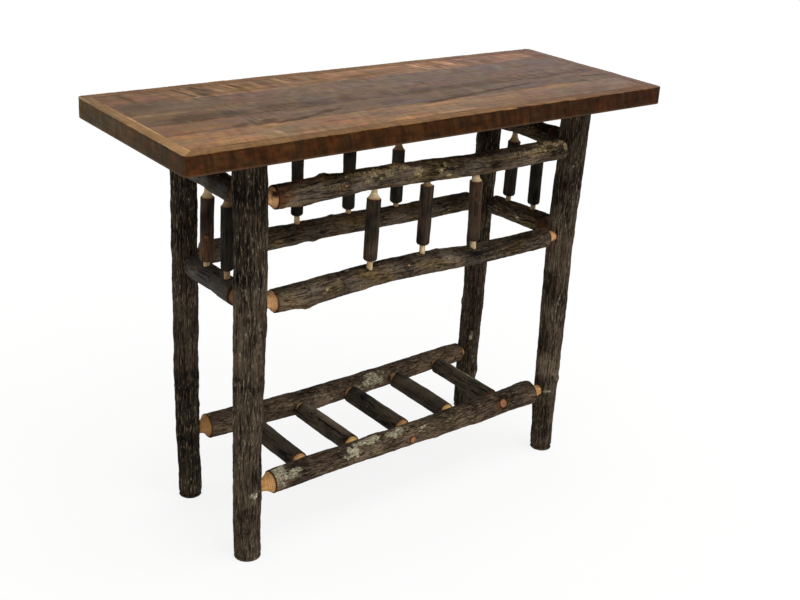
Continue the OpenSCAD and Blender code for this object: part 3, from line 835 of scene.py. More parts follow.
def bark_piece(node, style, pole, seed):
    """The bark of a pole as one closed skin, and sawn discs for its stubs."""
    s, centre, radius = pole.smooth_course()
    low, high = pole.bark_from, pole.bark_to
    mean = radius.mean()
    look = STYLES[style]
    ring = look.ring
    columns = int(TURN * mean / look.column_step)
    body = np.linspace(low, high, int((high - low) / look.row_step))
    # Rows of the two ends: distance from the end, share of the radius and of the relief
    if style == "leg":
        turned = np.linspace(0.0, 1.0, 9)
        foot = [(FOOT_ROUND * (1 - math.sin(a * math.pi / 2)) * 0.98, a) for a in turned[::-1]]
        first = [(0.0, 0.45, 0.0), (0.0, 0.8, 0.2)]
        first += [
            (d, 1 - FOOT_ROUND * (1 - math.cos((1 - a) * math.pi / 2)) / mean, 0.35 + 0.6 * (1 - a))
            for d, a in foot[:-1]
        ]
        first = sorted(first, key=lambda row: (row[0], row[1]))
        last = [(0.0, 1.0, 1.0), (0.0, 0.85, 0.0)]
        body = body[(body > FOOT_ROUND) & (body < high - 0.5)]
    else:
        rim = 1 - ring * 0.4 / mean
        first = [(0.2, 0.5, 0.0), (0.0, rim - ring / mean, 0.2), (0.0, rim, 0.7), (0.5, 1, 1)]
        last = first[::-1]
        body = body[(body > low + 1.2) & (body < high - 1.2)]
    rows = [(low + d, r, k) for d, r, k in first]
    rows += [(b, 1.0, 1.0) for b in body]
    rows += [(high - d, r, k) for d, r, k in last]
    at, shape, amount = np.array(rows).T
    angle = np.arange(columns) / columns * TURN
    S, A = np.meshgrid(at, angle, indexing="ij")
    R = np.interp(at, s, radius)[:, None]
    cx = np.interp(at, s, centre[:, 0])[:, None]
    cy = np.interp(at, s, centre[:, 1])[:, None]
    relief, marks = bark(look, S, A, mean, seed)
    marks[..., TONE] *= BARK_SHADE.get(node, 1.0)
    if style == "leg":
        # Painted shade under the tabletop, with partly darker bark, towards the top of each leg
        painted_top_shade = LEG_TOP_SHADE[node.split("_")[1]]
        marks[..., TONE] *= 1 - painted_top_shade * step(0.7 * high, 0.92 * high, S)
    elif style in ("rail", "stretcher"):
        # Painted shade: rails and stretchers are darker on their upper side, as if shaded from
        # above
        marks[..., TONE] *= 1 - 0.45 * step(0.2, 0.95, np.cos(A + 0.25))
    main = (pole.start + S[..., None] * pole.along)[..., pole.axis]
    stubs = add_features(node, main, A, mean, relief, marks, seed)
    out = R * shape[:, None] + relief * amount[:, None]
    if style != "leg":
        # The bark breaks off unevenly at both ends, and its inner layer shows there
        for edge, way in ((low, 1.0), (high, -1.0)):
            gap = np.abs(S - edge)
            chip = step(-0.5, 1.0, layers(A / TURN * 9, edge + 0 * A, seed + 120, 3, wrap=9))
            size = 0.9 * ring / 2.5 + 0.3
            S = S + way * size * chip * np.exp(-gap / 4) * amount[:, None]
            if node in PEELED and way < 0:
                torn, degrees = PEELED[node]
                side = step(0.6, 0.95, np.cos(A - math.radians(degrees)))
                S = S - torn * side * np.exp(-gap / 12)
            at_least(marks, RUST, look.inner * np.exp(-gap / 2.2))
            marks[..., LICHEN] *= 1 - np.exp(-gap / 2)
            marks[..., TONE] *= 1 - 0.2 * np.exp(-gap / 5)
    else:
        at_least(marks, RUST, 0.8 * (shape[:, None] < 0.86) * (S < 5))
    marks = np.clip(marks, 0, 1.2)
    rings = pole.place(S, cx + out * np.cos(A), cy + out * np.sin(A))
    rings[..., 2] = np.maximum(rings[..., 2], 0.0)
    grain = np.stack([R * np.cos(A), R * np.sin(A), S], -1) * MM + seed % 50
    material = MATERIALS[OTHER_BARK.get(node, style)]
    closed_skin(node + "_bark", rings, grain, marks, material, [node], crease=80)
    for k, (place, degrees, size) in enumerate(stubs):
        share = (place - pole.start[pole.axis]) / (pole.end - pole.start)[pole.axis]
        name, course = f"{node}_stub_{k + 1}", (s, centre, radius)
        sawn_stub(name, node, pole, share * pole.length, degrees, size, course)


# Rows of a stub's skin, from inside the bark to its middle: height in mm and share of its radius
STUB_ROWS = (
    (-5, 0.86), (0.5, 0.93), (1.8, 0.94), (2.4, 0.9), (2.7, 0.75), (2.8, 0.55), (2.9, 0.3),
    (2.9, 0.12),
)


def sawn_stub(name, node, pole, at, degrees, size, course):
    """The sawn face of a branch stub, slightly domed, standing out of the bark's collar."""
    s, centre, radius = course
    a = math.radians(degrees)
    out = math.cos(a) * pole.e1 + math.sin(a) * pole.e2
    side = np.cross(out, pole.along)
    c = np.array([np.interp(at, s, centre[:, k]) for k in (0, 1)])
    foot = pole.start + pole.along * at + c[0] * pole.e1 + c[1] * pole.e2
    foot = foot + out * np.interp(at, s, radius)
    columns = 40
    angle = np.arange(columns) / columns * TURN
    rings, grain = [], []
    for height, share in STUB_ROWS:
        wobble = size * share * (1 + 0.05 * noise(angle / TURN * 5, angle * 0 + 3, 77, wrap=5))
        lift = height + 0.25 * noise(angle / TURN * 6, angle * 0 + 10 * share, 78, wrap=6)
        u, v = wobble * np.cos(angle), wobble * np.sin(angle)
        rings.append(foot + out * lift[:, None] + pole.along * u[:, None] + side * v[:, None])
        grain.append(np.stack([v, -u, lift], -1) * MM)
    rings, grain = np.array(rings), np.array(grain)
    marks = np.zeros(rings.shape[:2] + (4,))
    # Its sides are stained, its heart is dark, and a larger stub is darker
    marks[:4, :, STAIN] = 0.7
    marks[4, :, STAIN] = 0.35
    marks[-1, :, SPOT] = 0.5
    marks[..., SHADE] = 1.25 - 0.035 * size
    rings, grain, marks = rings[:, ::-1], grain[:, ::-1], marks[:, ::-1]
    closed_skin(name, rings, grain, marks, MATERIALS["knot"], [node], 50)


INSIDE = 8.0  # the wood starts this far inside the bark
SHOULDER = 34.0  # the shaved shoulder is no longer than this
# The wood of a pole, or else of its kind
SHAVED = {
    "spindle": "pale_shaved",
    "rail": "shaved_rail",
    "shelf_rung_2": "golden_shaved",
    "shelf_rung_4": "golden_shaved",
}
# A dark spot on the bare wood at a pole's start: angle, half width, and reach from the bark
SPOTS = {"upper_rail_front": (50, 9.0, 12.0)}
# How light the bare wood is at a pole's start and at its end
WOOD_SHADE = {
    "upper_rail_left": (0.14, 1.0), "lower_rail_left": (0.32, 0.25),
    "upper_rail_right": (0.05, 1.0), "lower_rail_right": (0.1, 1.0),
    "upper_rail_back": (0.3, 1.0), "lower_rail_back": (0.3, 1.0), "spindle_front_2": (1.0, 0.5),
    "spindle_left_1": (0.5, 0.35), "spindle_left_2": (0.8, 0.75), "spindle_right_1": (0.5, 0.3),
    "spindle_right_2": (0.5, 0.45), "stretcher_back": (0.7, 1.0), "shelf_rung_1": (1.3, 1.0),
    "shelf_rung_2": (1.3, 1.0), "shelf_rung_4": (1.25, 1.0), "shelf_rung_5": (0.3, 1.0),
    "spindle_back_1": (0.85, 0.07), "spindle_back_2": (0.8, 0.07), "spindle_back_3": (0.8, 0.3),
}


def wood_piece(node, style, pole, at_end, seed):
    """A shaved shoulder and its tenon, from inside the bark to the tenon's end."""
    look = STYLES[style]
    edge = pole.bark_to if at_end else pole.bark_from
    tip = pole.length - 0.25 if at_end else 0.25
    way = 1.0 if at_end else -1.0
    run = abs(tip - edge)
    # A fine row every 0.7 mm on the shoulder, coarser on the straight tenon
    shoulder = min(run, SHOULDER)
    rows = np.concatenate([[-INSIDE, -0.6], np.arange(0.15, shoulder, 0.7), [run]])
    at = edge + way * rows
    size = np.interp(at, pole.fine, pole.profile)
    rim = np.interp(edge - way, pole.fine, pole.profile) - 0.8 * look.ring
    size = np.minimum(size, rim)
    just_out = min(rim, np.interp(edge + way * 0.6, pole.fine, pole.profile))
    size[rows < 0.6] = just_out
    columns = int(TURN * just_out / 1.1) // 2 * 2
    angle = np.arange(columns) / columns * TURN
    S, A = np.meshgrid(at, angle, indexing="ij")
    depth = np.abs(S - edge)
    knife = noise(A / TURN * 11, S / 9, seed + 300, wrap=11)
    ringed = noise(A / TURN * 3, S / 0.9, seed + 310, wrap=3)
    cut = step(0.0, 1.5, depth) * (0.22 * knife + 0.1 * ringed)
    out = size[:, None] + cut
    if not at_end:
        order = slice(None, None, -1)
        S, A, out, depth = S[order], A[order], out[order], depth[order]
    rings = pole.place(S, out * np.cos(A), out * np.sin(A))
    grain = np.stack([out * np.cos(A), out * np.sin(A), S], -1) * MM
    marks = np.zeros(rings.shape[:2] + (4,))
    marks[..., STAIN] = 0.75 * np.exp(-depth / 2.6)
    marks[..., STAIN] += 0.25 * step(0.2, 0.9, knife) * np.exp(-depth / 9)
    at_least(marks, STAIN, look.golden * np.exp(-depth / 9))
    marks[..., SHADE] = WOOD_SHADE.get(node, (1.0, 1.0))[at_end]
    if node in SPOTS and not at_end:
        degrees, size, reach = SPOTS[node]
        turn = (A - math.radians(degrees) + math.pi) % TURN - math.pi
        d = np.hypot((depth - reach * 0.4) / size, turn * out / size)
        marks[..., SPOT] = step(1.5, 0.2, d + 0.3 * noise(A / TURN * 20, S / 2, 5, wrap=20))
    material = MATERIALS[SHAVED.get(node, SHAVED.get(style, "shaved"))]
    name = f"{node}_{'end' if at_end else 'start'}_wood"
    closed_skin(name, rings, grain, marks, material, [node], crease=70)


FRONT_BACK, LEFT_RIGHT = ("front", "back"), ("left", "right")
POLES = (
    [(f"leg_{a}_{b}", "leg", X) for a in FRONT_BACK for b in LEFT_RIGHT]
    + [(f"{a}_rail_{b}", "rail", Z) for a in ("upper", "lower") for b in FRONT_BACK + LEFT_RIGHT]
    + [(f"stretcher_{a}", "stretcher", Z) for a in FRONT_BACK]
    + [(f"shelf_rung_{k}", "rung", Z) for k in range(1, 6)]
    + [(f"spindle_{a}_{k}", "spindle", X) for a in FRONT_BACK for k in (1, 2, 3)]
    + [(f"spindle_{a}_{k}", "spindle", X) for a in LEFT_RIGHT for k in (1, 2)]
)
for number, (node, style, upright) in enumerate(POLES):
    longer = LONGER_BARK.get(node, 0.0)
    pole = Pole(node, upright, style in SKINNED, style != "leg", longer)
    seed = 1000 + 37 * number
    bark_piece(node, style, pole, seed)
    if style != "leg":
        wood_piece(node, style, pole, False, seed)
        wood_piece(node, style, pole, True, seed + 5)

# ---- tabletop
LEFT, RIGHT = cad_low.x / MM, cad_high.x / MM
FRONT, BACK = cad_low.y / MM, cad_high.y / MM
TOP = cad_high.z / MM
BOARD_STEP = 2.0
TOP_THICK = 39.0
# How far the top's corners are off the drawing, in mm: its left (-1) or right (1) and its
# front (-1) or back (1), then along its length, its width and its thickness
OFF_SQUARE = (
    (-1, 1, -3.5, 6.0, 4.2),
    (-1, -1, -1.0, 0.0, 1.7),
    (1, -1, 9.0, 0.0, 1.7),
    (1, 1, 1.5, 0.0, 1.7),
)


def joined_by_hand(rings):
    """The top a little out of square, and thicker towards its back left corner."""
    x, y, z = np.moveaxis(rings, -1, 0)
    up = (z - TOP + TOP_THICK) / TOP_THICK
    moved = rings.copy()
    for side, end, along, across, thicker in OFF_SQUARE:
        near = (1 + side * x / RIGHT) * (1 + end * y / BACK) / 4
        moved += near[..., None] * np.stack([along + 0 * up, across + 0 * up, thicker * up], -1)
    return moved


# Colours of each board at its left end, one and two thirds of the way, and at its right end
BOARD_COLOURS = [
    ["#785b45", "#856449", "#90705a", "#8c6b5e"],
    ["#6b5643", "#7b6352", "#786559", "#77645c"],
    ["#715841", "#6f5c4c", "#745f54", "#745f56"],
    ["#826149", "#75604f", "#715f53", "#766258"],
    ["#926f4f", "#8f6f54", "#8c6f58", "#816a5c"],
]
# How much lighter each board's front half is than its back half
FRONT_HALF = (0.0, 0.0, -0.14, 0.0, -0.04)
BOARD_NAMES = [f"top_board_{k}" for k in range(1, 6)]
COLOURS_FROM, COLOURS_SPAN = 40, 1140  # where the first colour stands, and how far on the last
TOP_SHADE, EDGING_SHADE = -0.14, -0.34  # how much darker all is than the colours given


def colour_along(codes, share):
    """Colours evenly spaced along a board, read at share from 0 to 1."""
    stops = np.linspace(0, 1, len(codes))
    table = np.array([linear(c) for c in codes])
    return np.stack([np.interp(share, stops, table[:, k]) for k in range(3)], -1)


# Darker or lighter places of the tabletop: mm from its left end and from its back edge, half
# length, half width, turn in degrees, change of brightness, and change of warmth
TOP_PLACES = [
    (80, 62, 8, 40, 8, -0.4, 0.3), (200, 60, 7, 30, 8, -0.25, 0.3),
    (238, 66, 11, 46, 9, -0.7, 0.2), (262, 50, 9, 26, 8, -0.2, -0.5),
    (300, 60, 28, 34, 0, 0.14, 0.05), (328, 70, 8, 36, 8, -0.42, 0.4),
    (362, 62, 8, 36, 6, -0.35, 0.1), (390, 60, 6, 34, 6, -0.3, 0.1),
    (402, 60, 6, 34, 6, -0.35, -0.1), (430, 68, 7, 34, 6, -0.35, 0.3),
    (522, 70, 9, 28, 5, -0.35, 0.3), (560, 88, 30, 8, 0, -0.15, 0.5),
    (590, 50, 60, 30, 0, 0.2, 0.3), (640, 82, 60, 12, 0, -0.32, 0.55),
    (730, 66, 60, 18, 0, -0.14, 0.4), (740, 36, 90, 20, 0, 0.2, 0.35),
    (880, 56, 70, 32, 0, 0.22, 0.35), (830, 98, 90, 8, 0, 0.18, 0.35),
    (970, 56, 12, 30, 10, -0.25, 0.2), (1010, 80, 18, 22, 10, -0.25, 0.1),
    (1130, 50, 50, 20, 0, 0.1, 0.4), (190, 36, 60, 12, 0, -0.12, -0.2),
    # The place 330 from the left and 106 from the back is a painted highlight along the seam of the
    # first two boards
    (330, 106, 140, 7, 0, 0.42, 0.2), (70, 130, 46, 30, 0, -0.2, -0.3),
    (70, 196, 60, 10, 0, 0.16, 0.3), (210, 204, 60, 8, 0, 0.1, 0.1),
    (138, 240, 60, 22, 0, -0.5, 0.4), (226, 244, 24, 18, 0, -0.4, -0.1),
    (330, 236, 40, 24, 0, -0.25, 0.2), (410, 242, 40, 20, 0, -0.25, 0.0),
    (485, 240, 16, 16, 0, -0.2, 0.1), (760, 252, 190, 12, -2, -0.28, 0.1),
    (1060, 262, 120, 8, 8, -0.22, 0.1), (660, 256, 40, 14, 0, -0.12, 0.3),
    (192, 326, 30, 13, 20, -0.65, 0.5), (246, 324, 30, 12, 26, -0.6, 0.4),
    (560, 306, 50, 16, 0, -0.18, -0.2), (700, 318, 60, 14, 6, -0.2, -0.3),
    (1087, 330, 14, 8, -16, -0.4, 0.0), (1160, 302, 36, 7, -14, -0.32, 0.0),
    (90, 318, 60, 5, 6, 0.12, 0.3), (60, 330, 26, 12, 10, -0.1, 0.5),
    (250, 350, 28, 9, 4, 0.35, 0.9), (228, 358, 9, 7, 0, -0.35, 0.8),
    (228, 399, 8, 12, 0, 0.5, -0.2), (105, 360, 50, 22, 0, 0.08, 0.25),
    (125, 408, 80, 18, 0, 0.2, 0.6), (255, 384, 20, 30, 0, -0.14, -0.3),
    (520, 421, 50, 9, 0, 0.4, 0.7), (640, 420, 50, 8, 0, 0.25, 0.35),
    (400, 400, 60, 20, 0, 0.1, 0.3), (640, 360, 60, 20, 0, 0.14, 0.3),
    (1000, 345, 44, 14, 4, 0.2, 0.7), (820, 400, 20, 12, 0, 0.1, 0.4),
    (900, 406, 90, 20, 0, -0.12, 0.0), (1040, 400, 70, 20, 0, -0.16, 0.0),
    (1120, 360, 60, 20, 0, 0.06, 0.1), (130, 431, 110, 5, 0, -0.4, 0.2),
    (420, 431, 150, 4, 0, -0.25, 0.1), (620, 430, 60, 5, 0, -0.4, 0.1),
    (900, 430, 200, 4, 0, -0.25, 0.1),
]
# Dark cracks that run with the grain: places from end to end, half width
TOP_CRACKS = [
    ([(250, 340), (330, 330), (395, 309), (440, 302)], 8.0),
    ([(596, 346), (690, 332), (780, 320), (870, 309), (960, 298)], 8.0),
    ([(1090, 292), (1150, 300), (1200, 306)], 2.5),
    ([(180, 262), (420, 264), (700, 262)], 1.0),
    ([(640, 206), (760, 202), (900, 204)], 1.2),
    ([(880, 152), (980, 156), (1120, 150)], 1.0),
    ([(300, 150), (430, 146), (560, 150)], 1.0),
]


def crack_depth(x, y):
    """How far each place lies inside a crack, from 0 to 1."""
    total = x * 0
    for places, half in TOP_CRACKS:
        px, py = np.array(places, dtype=float).T
        line = np.interp(x, px, py)
        line = line + 1.6 * noise(x / 24, x * 0, 61) + 0.8 * noise(x / 7, x * 0, 62)
        taper = step(px[0] - 8, px[0] + 40, x) * step(px[-1] + 8, px[-1] - 40, x)
        width = half * taper * (0.7 + 0.3 * noise(x / 18, x * 0, 63))
        inside = np.where(taper > 0.02, bell((y - line) / np.maximum(width, 0.4)), 0)
        total = np.maximum(total, inside * np.minimum(taper * 3, 1))
    return total


def top_tint(x, y, board):
    """Linear colour of the boards at x from the left end and y from the back edge."""
    low, high = BOARD_SPANS[board]
    share = (x - COLOURS_FROM) / COLOURS_SPAN
    side = step(0.25, 0.75, (y - low) / (high - low))
    tint = colour_along(BOARD_COLOURS[board], share)
    tint = tint * (1 + FRONT_HALF[board] * (side - 0.5))[..., None]
    streak = layers(x / 130, y / 5.0, 400 + 10 * board, 3)
    saw = saw_at(x, y, board)
    kerf = layers(saw / 7.5, y / 60, 500 + 10 * board, 3)
    strong = step(-0.3, 0.5, layers(x / 120, y / 60, 520 + board, 2))
    mottle = layers(x / 20, y / 9, 580 + 10 * board, 3)
    change = TOP_SHADE + 0.09 * streak + 0.09 * mottle
    change = change + (0.05 + 0.13 * strong) * KERF_CONTRAST[board] * kerf
    warm = 0.42 * layers(x / 70, y / 16, 540 + board, 3)
    green = 0.07 * layers(x / 40, y / 24, 550 + board, 2)
    for cx, cy, half_x, half_y, turn, bright, warmth in TOP_PLACES:
        c, s = math.cos(math.radians(turn)), math.sin(math.radians(turn))
        u, v = x - cx, y - cy
        a, b = (u * c - v * s) / half_x, (u * s + v * c) / half_y
        ragged = 0.3 * layers(saw / 14, y / 22, 560, 2)
        mask = step(1.5, 0.35, np.sqrt(a * a + b * b) + ragged)
        change = change + bright * mask
        warm = warm + warmth * mask
    warm = warm[..., None] * np.array([0.16, -0.02, -0.28])
    warm[..., 1] += green
    tint = tint * np.exp(1.25 * change)[..., None] * (1 + warm)
    crack = crack_depth(x, y)[..., None]
    return tint * (1 - np.array([0.5, 0.57, 0.63]) * crack)


# How the saw marks of boards 1 to 5, the long strips and the short strips lean, and the radius
# in mm that those of the boards are bent to
SAW_LEAN = (-0.18, -0.06, -0.1, -0.1, -0.12, -0.4, -0.1)
SAW_BEND = (700, 900, -800, 1000, 650)
KERF_CONTRAST = (2.4, 0.8, 0.8, 0.7, 0.45)


def saw_at(x, y, board):
    """Place across the saw's marks, which curve and lean a little from board to board."""
    return x + SAW_LEAN[board] * y + (y - 200) ** 2 / (2 * SAW_BEND[board])


def top_relief(x, y, board):
    """Saw marks, raised grain, wear and cracks of the upper side, in mm."""
    saw = saw_at(x, y, board)
    kerf = layers(saw / 4.5, y / 70, 500 + 10 * board, 2)
    strong = 0.25 + 0.75 * step(-0.3, 0.5, layers(x / 120, y / 60, 520 + board, 2))
    raised = layers(x / 90, y / 3.2, 400 + 10 * board, 2)
    worn = layers(x / 160, y / 45, 600 + board, 2)
    return 0.16 * kerf * strong + 0.07 * raised + 0.22 * worn - 0.25 - 1.6 * crack_depth(x, y)


boxes = [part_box(name) for name in BOARD_NAMES]
BOARD_SPANS = [(BACK - high.y / MM, BACK - low.y / MM) for low, high in boxes]


def board_piece(name, board):
    """One board: its worn and sawn upper side, square sides and a flat underside."""
    low, high = (np.array(v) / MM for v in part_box(name))
    inner = np.arange(low[0] + 1.5, high[0] - 1.5, BOARD_STEP)
    xs = np.concatenate([[low[0], low[0] + 0.5], inner, [high[0] - 0.5, high[0]]])
    count = int((high[1] - low[1]) / BOARD_STEP)
    across = np.linspace(high[1] - 1.5, low[1] + 1.5, count)
    ys = np.concatenate([[high[1], high[1] - 0.5], across, [low[1] + 0.5, low[1]]])
    XS, YS = np.meshgrid(xs, np.concatenate([ys, [low[1], high[1]]]), indexing="ij")
    x, y = XS - LEFT, BACK - YS
    edge = np.minimum.reduce([XS - low[0], high[0] - XS, YS - low[1], high[1] - YS])
    ease = 0.55 * np.clip(1 - edge / 1.4, 0, 1) ** 2
    heights = high[2] + top_relief(x, y, board) - ease
    heights[:, -2:] = low[2]
    rings = np.stack([XS, YS, heights], -1)
    saw = saw_at(x, y, board)
    grain = np.stack([x, y, saw], -1) * MM + np.array([board * 0.731, 0, board * 0.413])
    marks = np.ones(rings.shape[:2] + (4,))
    marks[..., :3] = np.clip(top_tint(x, y, board), 0.002, 1)
    rings = joined_by_hand(rings)
    closed_skin(name + "_sawn", rings, grain, marks, MATERIALS["board"], [name], 35)


for board, name in enumerate(BOARD_NAMES):
    board_piece(name, board)

# ---- edging
CORNER = 12.0
SEAM = 0.2
EDGE_EASE = 1.6


class Strips(NamedTuple):
    """How the long or the short strips are sawn and stained, and the colour of the painted
    highlight along their worn upper edge.
    """

    board: int  # their place in SAW_LEAN, and their own noise
    cut_top: float  # contrast of the saw marks on top
    cut_face: float  # what the outer face has more
    mottle: float
    # The last field is the colour of the worn upper edge, and of the painted highlight along it
    worn_lip_highlight: str  # colour of the worn upper edge


def blended(one, other, share):
    return one * (1 - share[..., None]) + other * share[..., None]


def edging_piece(name, turn, span, depth, top_codes, face_codes, strips, worn, seam_highlight):
    """One mitred strip. It is laid out with its outer face at the front, and then turned."""
    board = strips.board
    low, high = (np.array(v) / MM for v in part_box(name))
    width = min(high[0] - low[0], high[1] - low[1])
    half_l, half_w = span / 2, depth / 2
    straight = half_l - CORNER
    arc = np.linspace(0, math.pi / 4, 9)[1:]
    middle = np.arange(-straight, straight + 0.1, BOARD_STEP)
    end_x = straight + CORNER * np.sin(arc)
    end_y = -half_w + CORNER * (1 - np.cos(arc))
    outer_x = np.concatenate([-end_x[::-1], middle, end_x])
    outer_y = np.concatenate([end_y[::-1], 0 * middle - half_w, end_y])
    inner_x = outer_x / outer_x.max() * (half_l - width)
    inner_y = 0 * inner_x - half_w + width
    shrink = 1 - (SEAM / math.sqrt(2)) / half_l
    outer_x, inner_x = outer_x * shrink, inner_x * shrink
    x = outer_x + half_l
    ease = EDGE_EASE + worn(x)
    # Cross-section from the inner top edge over the outer edge to the bottom: share of the way
    # in from the outer face, height, and length along the section
    top = np.concatenate([[1.0, 0.98], np.linspace(0.94, 0.1, 12)])
    bends = np.linspace(0, math.pi / 2, 6)
    down = np.linspace(0.0, 1.0, 20)[1:]
    share, height = [], []
    for t in top:
        share.append(t + 0 * x)
        height.append(high[2] + 0 * x - (0.5 if t == 1.0 else 0.0))
    for a in bends:
        share.append((1 - math.sin(a)) * ease / width)
        height.append(high[2] - ease * (1 - math.cos(a)))
    for t in down:
        share.append(0 * x)
        height.append((high[2] - ease) * (1 - t) + (low[2] + 0.8) * t)
    share += [0 * x + 0.03, 0 * x + 1.0]
    height += [0 * x + low[2], 0 * x + low[2]]
    share, height = np.array(share).T, np.array(height).T
    px = outer_x[:, None] + (inner_x - outer_x)[:, None] * share
    py = outer_y[:, None] + (inner_y - outer_y)[:, None] * share
    fall = high[2] - height
    run = np.where(share > 0.001, -share * width, fall)
    along = np.repeat(x[:, None], share.shape[1], 1)
    saw = along + SAW_LEAN[board] * run + run * run / 500
    kerf = layers(saw / 4.2, run / 50, 700 + board, 2)
    raised = layers(along / 60, run / 3.0, 710 + board, 2)
    worn_away = layers(along / 90, run / 30, 720 + board, 2)
    bump = 0.2 * kerf + 0.08 * raised + 0.3 * worn_away - 0.3
    inside = (share > 0.97) | (height < low[2] + 0.5)
    bump = np.where(inside, 0, bump)
    tilt = np.where(share > 0.001, 1.0, 0.0)
    height = height + bump * tilt
    py = py - bump * (1 - tilt)
    facing = step(-0.5, 1.5, fall)
    tops, faces = (colour_along(codes, along / span) for codes in (top_codes, face_codes))
    tint = blended(tops, faces, facing)
    kerfs = layers(saw / 7, run / 60, 730 + board, 3)
    streaks = layers(along / 110, run / 4, 740 + board, 3)
    mottle = strips.mottle * layers(along / 16, run / 11, 770 + board, 3) * facing
    red = 0.5 * layers(along / 26, run / 15, 780 + board, 3) * facing
    cut = strips.cut_top + strips.cut_face * facing
    # Painted shade: a darker band on the outer face just below the rounded upper edge
    under = step(5.0, 0.0, fall + 8 * mottle) * step(0.6, 2.5, fall)
    lowest = step(3.6, 2.2, height - low[2])
    gain = 0.2 * streaks * (1 - 0.6 * facing) + cut * kerfs + mottle + EDGING_SHADE
    tint = tint * np.exp(gain - 0.3 * under + 0.3 * lowest)[..., None]
    tint = tint * (1 + red[..., None] * np.array([0.35, 0.0, -0.3]))
    tint = blended(tint, linear("#5a4b3c"), 0.4 * lowest)
    # Painted highlight along the rounded upper edge, partly worn wood, stronger where the edge is
    # worn back
    worn_lip_highlight = bell((fall - 0.6) / 0.9) * step(0.3, 0.1, share)
    worn_lip_highlight = worn_lip_highlight * step(0.0, 0.6, layers(along / 24, fall, 750 + board, 2))
    worn_lip_highlight = worn_lip_highlight * (0.35 + 0.8 * step(0.5, 2.5, worn(along)))
    tint = blended(tint, linear(strips.worn_lip_highlight), worn_lip_highlight)
    # Painted highlight along the inner edge, where the strip meets the boards
    seam = bell((share - 0.93) / 0.07)
    seam = seam * step(-0.2, 0.5, layers(along / 40, share, 760 + board, 2))
    tint = blended(tint, linear("#cba277"), seam * seam_highlight)
    c, s = math.cos(turn), math.sin(turn)
    rings = np.stack([px * c - py * s, px * s + py * c, height], -1)
    grain = np.stack([along, run, saw], -1) * MM + np.array([board * 0.9, 0.05, board * 0.3])
    marks = np.ones(rings.shape[:2] + (4,))
    marks[..., :3] = np.clip(tint, 0.002, 1)
    rings = joined_by_hand(rings)
    closed_skin(name + "_sawn", rings, grain, marks, MATERIALS["edging"], [name], 35)


def front_wear(x):
    """The front strip's top edge is worn back in places."""
    return (
        0.5 * step(0.1, 0.8, layers(x / 60, x * 0, 801, 2))
        + 3.2 * bell((x - 780) / 40)
        + 0.9 * bell((x - 955) / 30)
        + 1.2 * bell((x - 560) / 60)
    )


def plain_wear(x):
    """The other strips are worn a little, here and there."""
    return 0.5 * step(0.0, 0.8, layers(x / 50, x * 0, 802, 2))


LONG, SHORT = RIGHT - LEFT, BACK - FRONT
FRONT_TOP = ["#9e774c", "#8b6746", "#9a744f", "#926e52", "#80604d"]
FRONT_FACE = ["#482913", "#43270f", "#42260d", "#3a220f", "#3b2212"]
BACK_TOP = ["#917064", "#957456", "#926e50", "#86674d"]
LEFT_TOP = ["#967558", "#9f7c56", "#a98256", "#b98f60"]
RIGHT_TOP = ["#896e61", "#8f756a"]
SIDE_FACE = ["#59482f", "#56432f", "#452f1d"]
LONG_LOOK = Strips(5, 0.12, 0.12, 0.26, "#b08048")
SHORT_LOOK = Strips(6, 0.05, 0.1, 0.14, "#c4a078")
for name, turn, size, top_codes, face_codes, strips, worn, seam_highlight in (
    ("edging_front", 0, (LONG, SHORT), FRONT_TOP, FRONT_FACE, LONG_LOOK, front_wear, 0),
    ("edging_back", math.pi, (LONG, SHORT), BACK_TOP, FRONT_FACE[::-1], LONG_LOOK, plain_wear, 0),
    ("edging_left", -math.pi / 2, (SHORT, LONG), LEFT_TOP, SIDE_FACE, SHORT_LOOK, plain_wear, 0.8),
    ("edging_right", math.pi / 2, (SHORT, LONG), RIGHT_TOP, SIDE_FACE, SHORT_LOOK, plain_wear, 0),
):
    edging_piece(name, turn, *size, top_codes, face_codes, strips, worn, seam_highlight)


# ---- what stays as the CAD made it
def plain_wood(name, light, dark, stretch):
    """Wood for a CAD piece as it is: streaks that run where stretch is smallest."""
    s = Shader(bpy.data.materials.new(name))
    place = s.node("TexCoord").outputs["Object"]
    streak = s.noise(s.scaled(place, stretch), 5, 0.6, 0.3)
    patch = s.noise(s.scaled(place, (6, 14, 6)), 3, 0.5)
    value = s.plus(s.times(streak, 0.75), s.times(patch, 0.25))
    colour = s.ramp(value, (0.32, 0.68), (dark, light))
    return s.finish(colour, 0.7, streak, 0.25, 0.3)


for node, material in (
    ("underlay_panel", plain_wood("underlay_wood", "#a8835a", "#7d5c3a", (9, 420, 420))),
    ("top_dowels", plain_wood("dowel_wood", "#dcbc8a", "#b8935c", (600, 600, 30))),
):
    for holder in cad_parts[node].material_slots:
        holder.material = material


# ---- studio
FLOOR_WHITENING = 0.8
FLOOR_REACH = 30.0
# Light from all round, and the white that the camera sees instead of it
SKY_COLOUR, SKY_STRENGTH = (1.0, 0.985, 0.96, 1), 0.78
# Lamps: name, strength, width in degrees and the direction they shine from
LAMPS = (
    ("softbox_overhead", 1.15, 70, (0.25, -0.45, 1.0)),
    ("softbox_front_right", 0.35, 60, (0.75, -1.0, 0.55)),
)
# The photo's camera: focal length and sensor in mm, place in metres and turn in degrees
FOCAL_LENGTH, SENSOR_WIDTH = 54.143, 36.0
CAMERA_PLACE = (-1.54274, -2.05865, 1.57071)
CAMERA_TURN = (66.619, -2.897, -36.662)


def background_rays(s):
    """1 for the rays that show the background: the camera's, and those of gloss and glass."""
    path = s.node("LightPath").outputs
    total = path["Is Camera Ray"]
    for kind in ("Is Glossy Ray", "Is Transmission Ray"):
        both = s.node("Math", {0: total, 1: path[kind]}, operation="ADD", use_clamp=True)
        total = both.outputs[0]
    return total


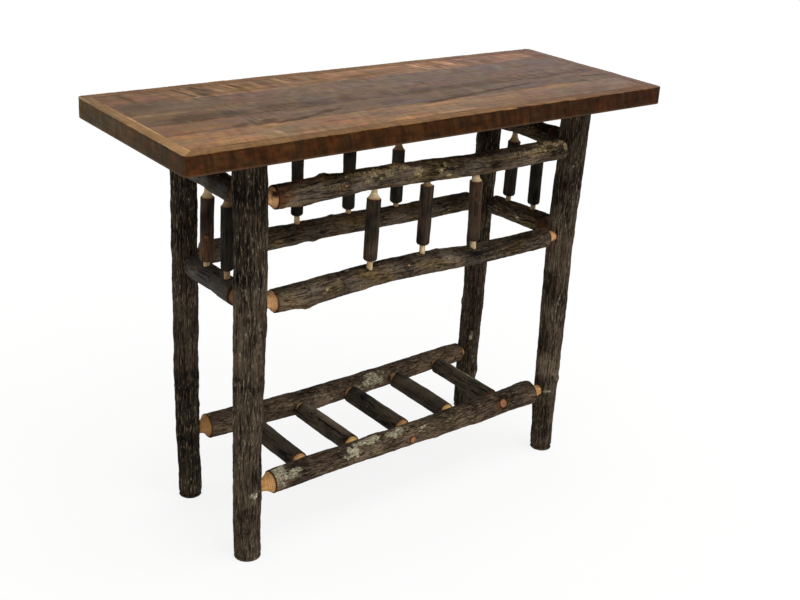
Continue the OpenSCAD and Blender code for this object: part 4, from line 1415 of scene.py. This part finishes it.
def backdrop(scene):
    """The world: a soft light all round, seen as plain white."""
    s = Shader(bpy.data.worlds.new("studio"))
    scene.world = s.owner
    around = s.node("Background", {"Color": SKY_COLOUR, "Strength": SKY_STRENGTH})
    seen = s.node("Background", {"Color": WHITE, "Strength": 1.0})
    values = {0: background_rays(s), 1: around.outputs[0], 2: seen.outputs[0]}
    s.node("OutputWorld", {0: s.node("MixShader", values).outputs[0]})


def floor_mesh():
    """The floor. The camera sees it whitened towards the backdrop, with the shadow kept on it."""
    mesh = bpy.data.meshes.new("studio_floor")
    signs = ((-1, -1), (1, -1), (1, 1), (-1, 1))
    corners = [(x * FLOOR_REACH, y * FLOOR_REACH, 0) for x, y in signs]
    mesh.from_pydata(corners, [], [(0, 1, 2, 3)])
    s = Shader(bpy.data.materials.new("studio_floor"))
    cloud = s.noise(s.scaled(s.node("TexCoord").outputs["Object"], (0.8, 0.8, 0.8)), 2)
    colour = s.ramp(cloud, (0.3, 0.7), ("#f6f6f6", "#f9f9f9"))
    whitened = s.times(background_rays(s), FLOOR_WHITENING)
    mesh.materials.append(s.finish(colour, 0.9, cloud, 0.1, 0.1, whitened))
    return mesh


def studio():
    """The backdrop, the floor, the lamps and the photo's camera."""
    scene = bpy.context.scene
    scene.view_settings.view_transform = "Standard"
    backdrop(scene)
    floor = bpy.data.objects.new("studio_floor", floor_mesh())
    scene.collection.objects.link(floor)

    for name, strength, angle, direction in LAMPS:
        lamp = bpy.data.lights.new(name, "SUN")
        lamp.energy = strength
        lamp.angle = math.radians(angle)
        holder = bpy.data.objects.new(name, lamp)
        holder.rotation_euler = Vector(direction).to_track_quat("Z", "Y").to_euler()
        scene.collection.objects.link(holder)

    lens = bpy.data.cameras.new("camera")
    lens.lens = FOCAL_LENGTH
    lens.sensor_width = SENSOR_WIDTH
    lens.sensor_fit = "HORIZONTAL"
    camera = bpy.data.objects.new("camera", lens)
    camera.location = CAMERA_PLACE
    camera.rotation_euler = [math.radians(a) for a in CAMERA_TURN]
    scene.collection.objects.link(camera)
    scene.camera = camera


studio()
